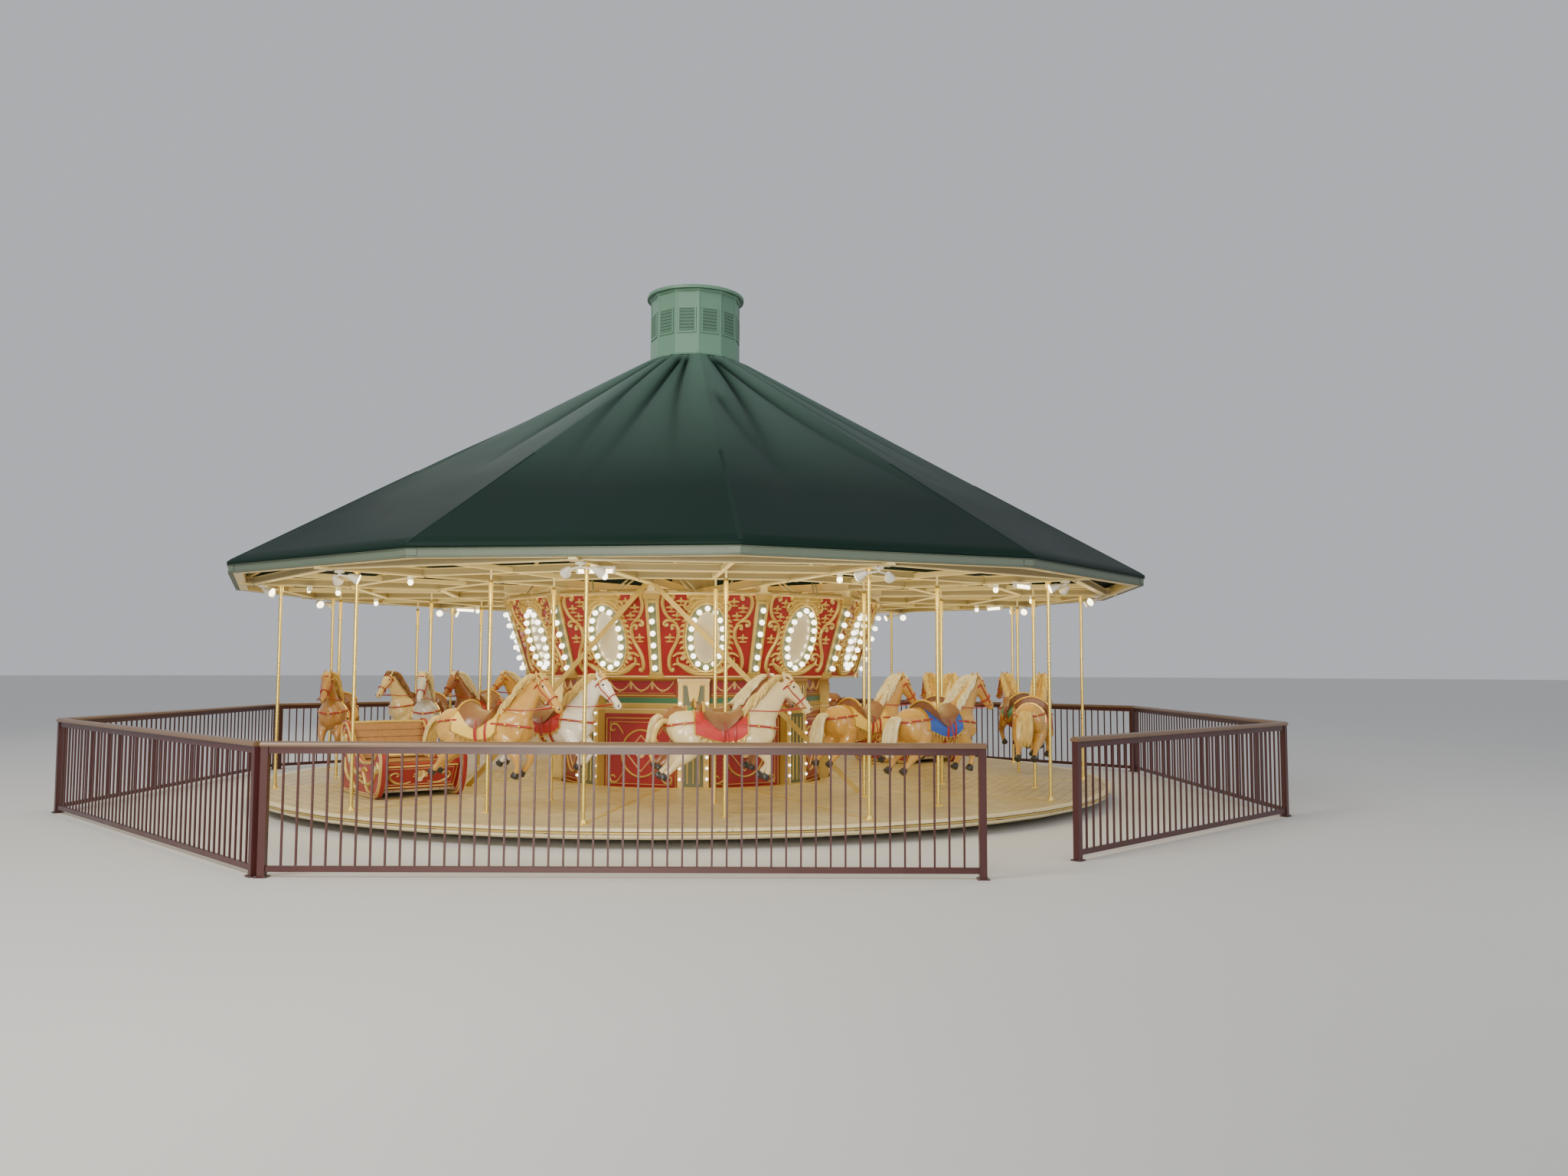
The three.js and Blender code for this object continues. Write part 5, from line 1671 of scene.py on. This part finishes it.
def chariotShape(parts):
    whole = Shape()
    outline = [(u, max(z, 0.2004)) for u, z in smoothLine(parts["outline"], 3, ringed=True)]
    for side in (-1, 1):
        addSideBoard(whole, parts, outline, side)
    inner = parts["sideY"] - parts["thickness"] / 2 - 0.001
    ends = (-inner, inner)
    for k in range(9):
        x = -0.545 + k * 0.1155
        whole.addBox((x, -inner, 0.262), (x + 0.111, inner, 0.298), "deck")
    for k in range(4):
        x = -0.41 + k * 0.117
        whole.addLoft([[(x, y, 0.56), (x + 0.113, y, 0.56), (x + 0.113, y, 0.585), (x + 0.105, y, 0.59),
                        (x + 0.008, y, 0.59), (x, y, 0.585)] for y in ends], "benchWood")
    whole.addBox((0.03, -inner, 0.3), (0.055, inner, 0.56), "scarlet")
    for k in range(5):
        low = Vector((-0.405 - k * 0.0265, 0, 0.6 + k * 0.084))
        high = low + Vector((-0.0245, 0, 0.079))
        thick = Vector((0.024, 0, 0.008))
        whole.addLoft([[p + Vector((0, y, 0)) for p in (low, low - thick, high - thick, high)]
                       for y in ends], "benchWood")
    whole.addTube([(-0.55, -inner, 1.025), (-0.55, 0.0, 1.03), (-0.55, inner, 1.025)], 0.02, 10, "goldPaint")
    whole.addTube([(0.6, -inner, 0.7), (0.6, 0.0, 0.7), (0.6, inner, 0.7)], 0.016, 10, "brass")
    carveBoard(whole, (-0.452, 0.3), (-0.568, 1.02), inner, -1)
    carveBoard(whole, (0.5, 0.299), (0.66, 0.6), inner, 1)
    return whole


# A board across the chariot with a gilt border, scrolls and a shell; it faces forwards (1) or back (-1).
def carveBoard(shape, foot, head, inner, way):
    rise = math.dist(foot, head)
    along = ((head[0] - foot[0]) / rise, (head[1] - foot[1]) / rise)
    out = (along[1] * way, -along[0] * way)

    def place(u, v, h):
        return (foot[0] + along[0] * v + out[0] * h, u, foot[1] + along[1] * v + out[1] * h)

    shape.addPlate(box4(-inner, 0.0, inner, rise), -0.012, 0.012, place, "scarlet")
    for inset, width, height, mark in ((0.03, 0.028, 0.028, "goldPaint"), (0.065, 0.011, 0.022, "paleGold")):
        shape.addRidge(box4(-inner + inset, inset, inner - inset, rise - inset), width, height, place, mark,
                       ringed=True, root=-0.01)
    middle, reach = rise * 0.46, rise * 0.3
    for k in range(9):
        angle = math.radians(-80 + 20 * k)
        tip = (reach * 0.9 * math.sin(angle), middle + reach * math.cos(angle))
        line = [(0.0, middle - 0.02), (tip[0] * 0.55, middle + (tip[1] - middle) * 0.6), tip]
        shape.addRidge(smoothLine(line, 3), [0.012, 0.034, 0.014], 0.03, place,
                       "paleGold" if k % 2 else "goldPaint", root=-0.01)
    shape.addPlate(oval(0.032, 0.026, middle - 0.02, 14), 0.01, 0.034, place, "mirror")
    curl = [(0.1, 0.3), (0.18, 0.22), (0.27, 0.26), (0.34, 0.4), (0.36, 0.56), (0.31, 0.66), (0.26, 0.6),
            (0.28, 0.52)]
    for side in (-1, 1):
        line = smoothLine([(side * u, v * rise) for u, v in curl], 4)
        shape.addRidge(line, [0.014, 0.03, 0.036, 0.034, 0.028, 0.024, 0.016], 0.028, place, "goldPaint",
                       root=-0.01)


def dressChariots(parts):
    shape = chariotShape(parts)
    used = ["scarlet", "goldPaint", "paleGold", "mirror", "deck", "benchWood", "brass"]
    for number, bay in enumerate(layout["chariotBays"]):
        placed = Shape().add(shape, placeMatrix(layout["chariotRing"], bayAngles[bay]))
        name = "chariot_%d" % (number + 1)
        makePiece("carved_" + name, placed, used, "machine", [name], smoothBelow=45)


dressChariots(chariotParts)
print("chariots carved")


# The finish of each solid of the model, by the start of its name.
nodeFinish = {
    "roof": "roofSheet", "fascia": "fasciaPaint", "cupola": "drumPaint", "ceiling": "creamPaint",
    "platform_brace": "goldPaint", "platform": "deck", "centre_panels": "scarlet", "centre_mast": "steel",
    "housing_moulding": "goldPaint", "housing": "scarlet", "fence": "maroon", "drop_rod": "brass",
    "chariot": "scarlet", "horse": "goldPaint",
}
for name, node in frame["nodes"].items():
    finish = next(finish for start, finish in nodeFinish.items() if name.startswith(start))
    node.data.materials.clear()
    node.data.materials.append(finishes[finish])

floorParts = {"radius": 250, "sides": 64}
floorMesh = bpy.data.meshes.new("studio_floor")
floorLine = oval(floorParts["radius"], floorParts["radius"], 0, floorParts["sides"])
floorMesh.from_pydata([(x, y, 0) for x, y in floorLine], [], [tuple(range(len(floorLine) - 1, -1, -1))])
floorMesh.materials.append(
    makeFinish("studio_floor", (0.62, 0.61, 0.58), (0.66, 0.65, 0.62), patch=0.3, rough=0.75, bump=0.02))
floor = newObject("studio_floor", floorMesh)

makeCamera(cameraSettings)
makeLight(lightSettings)
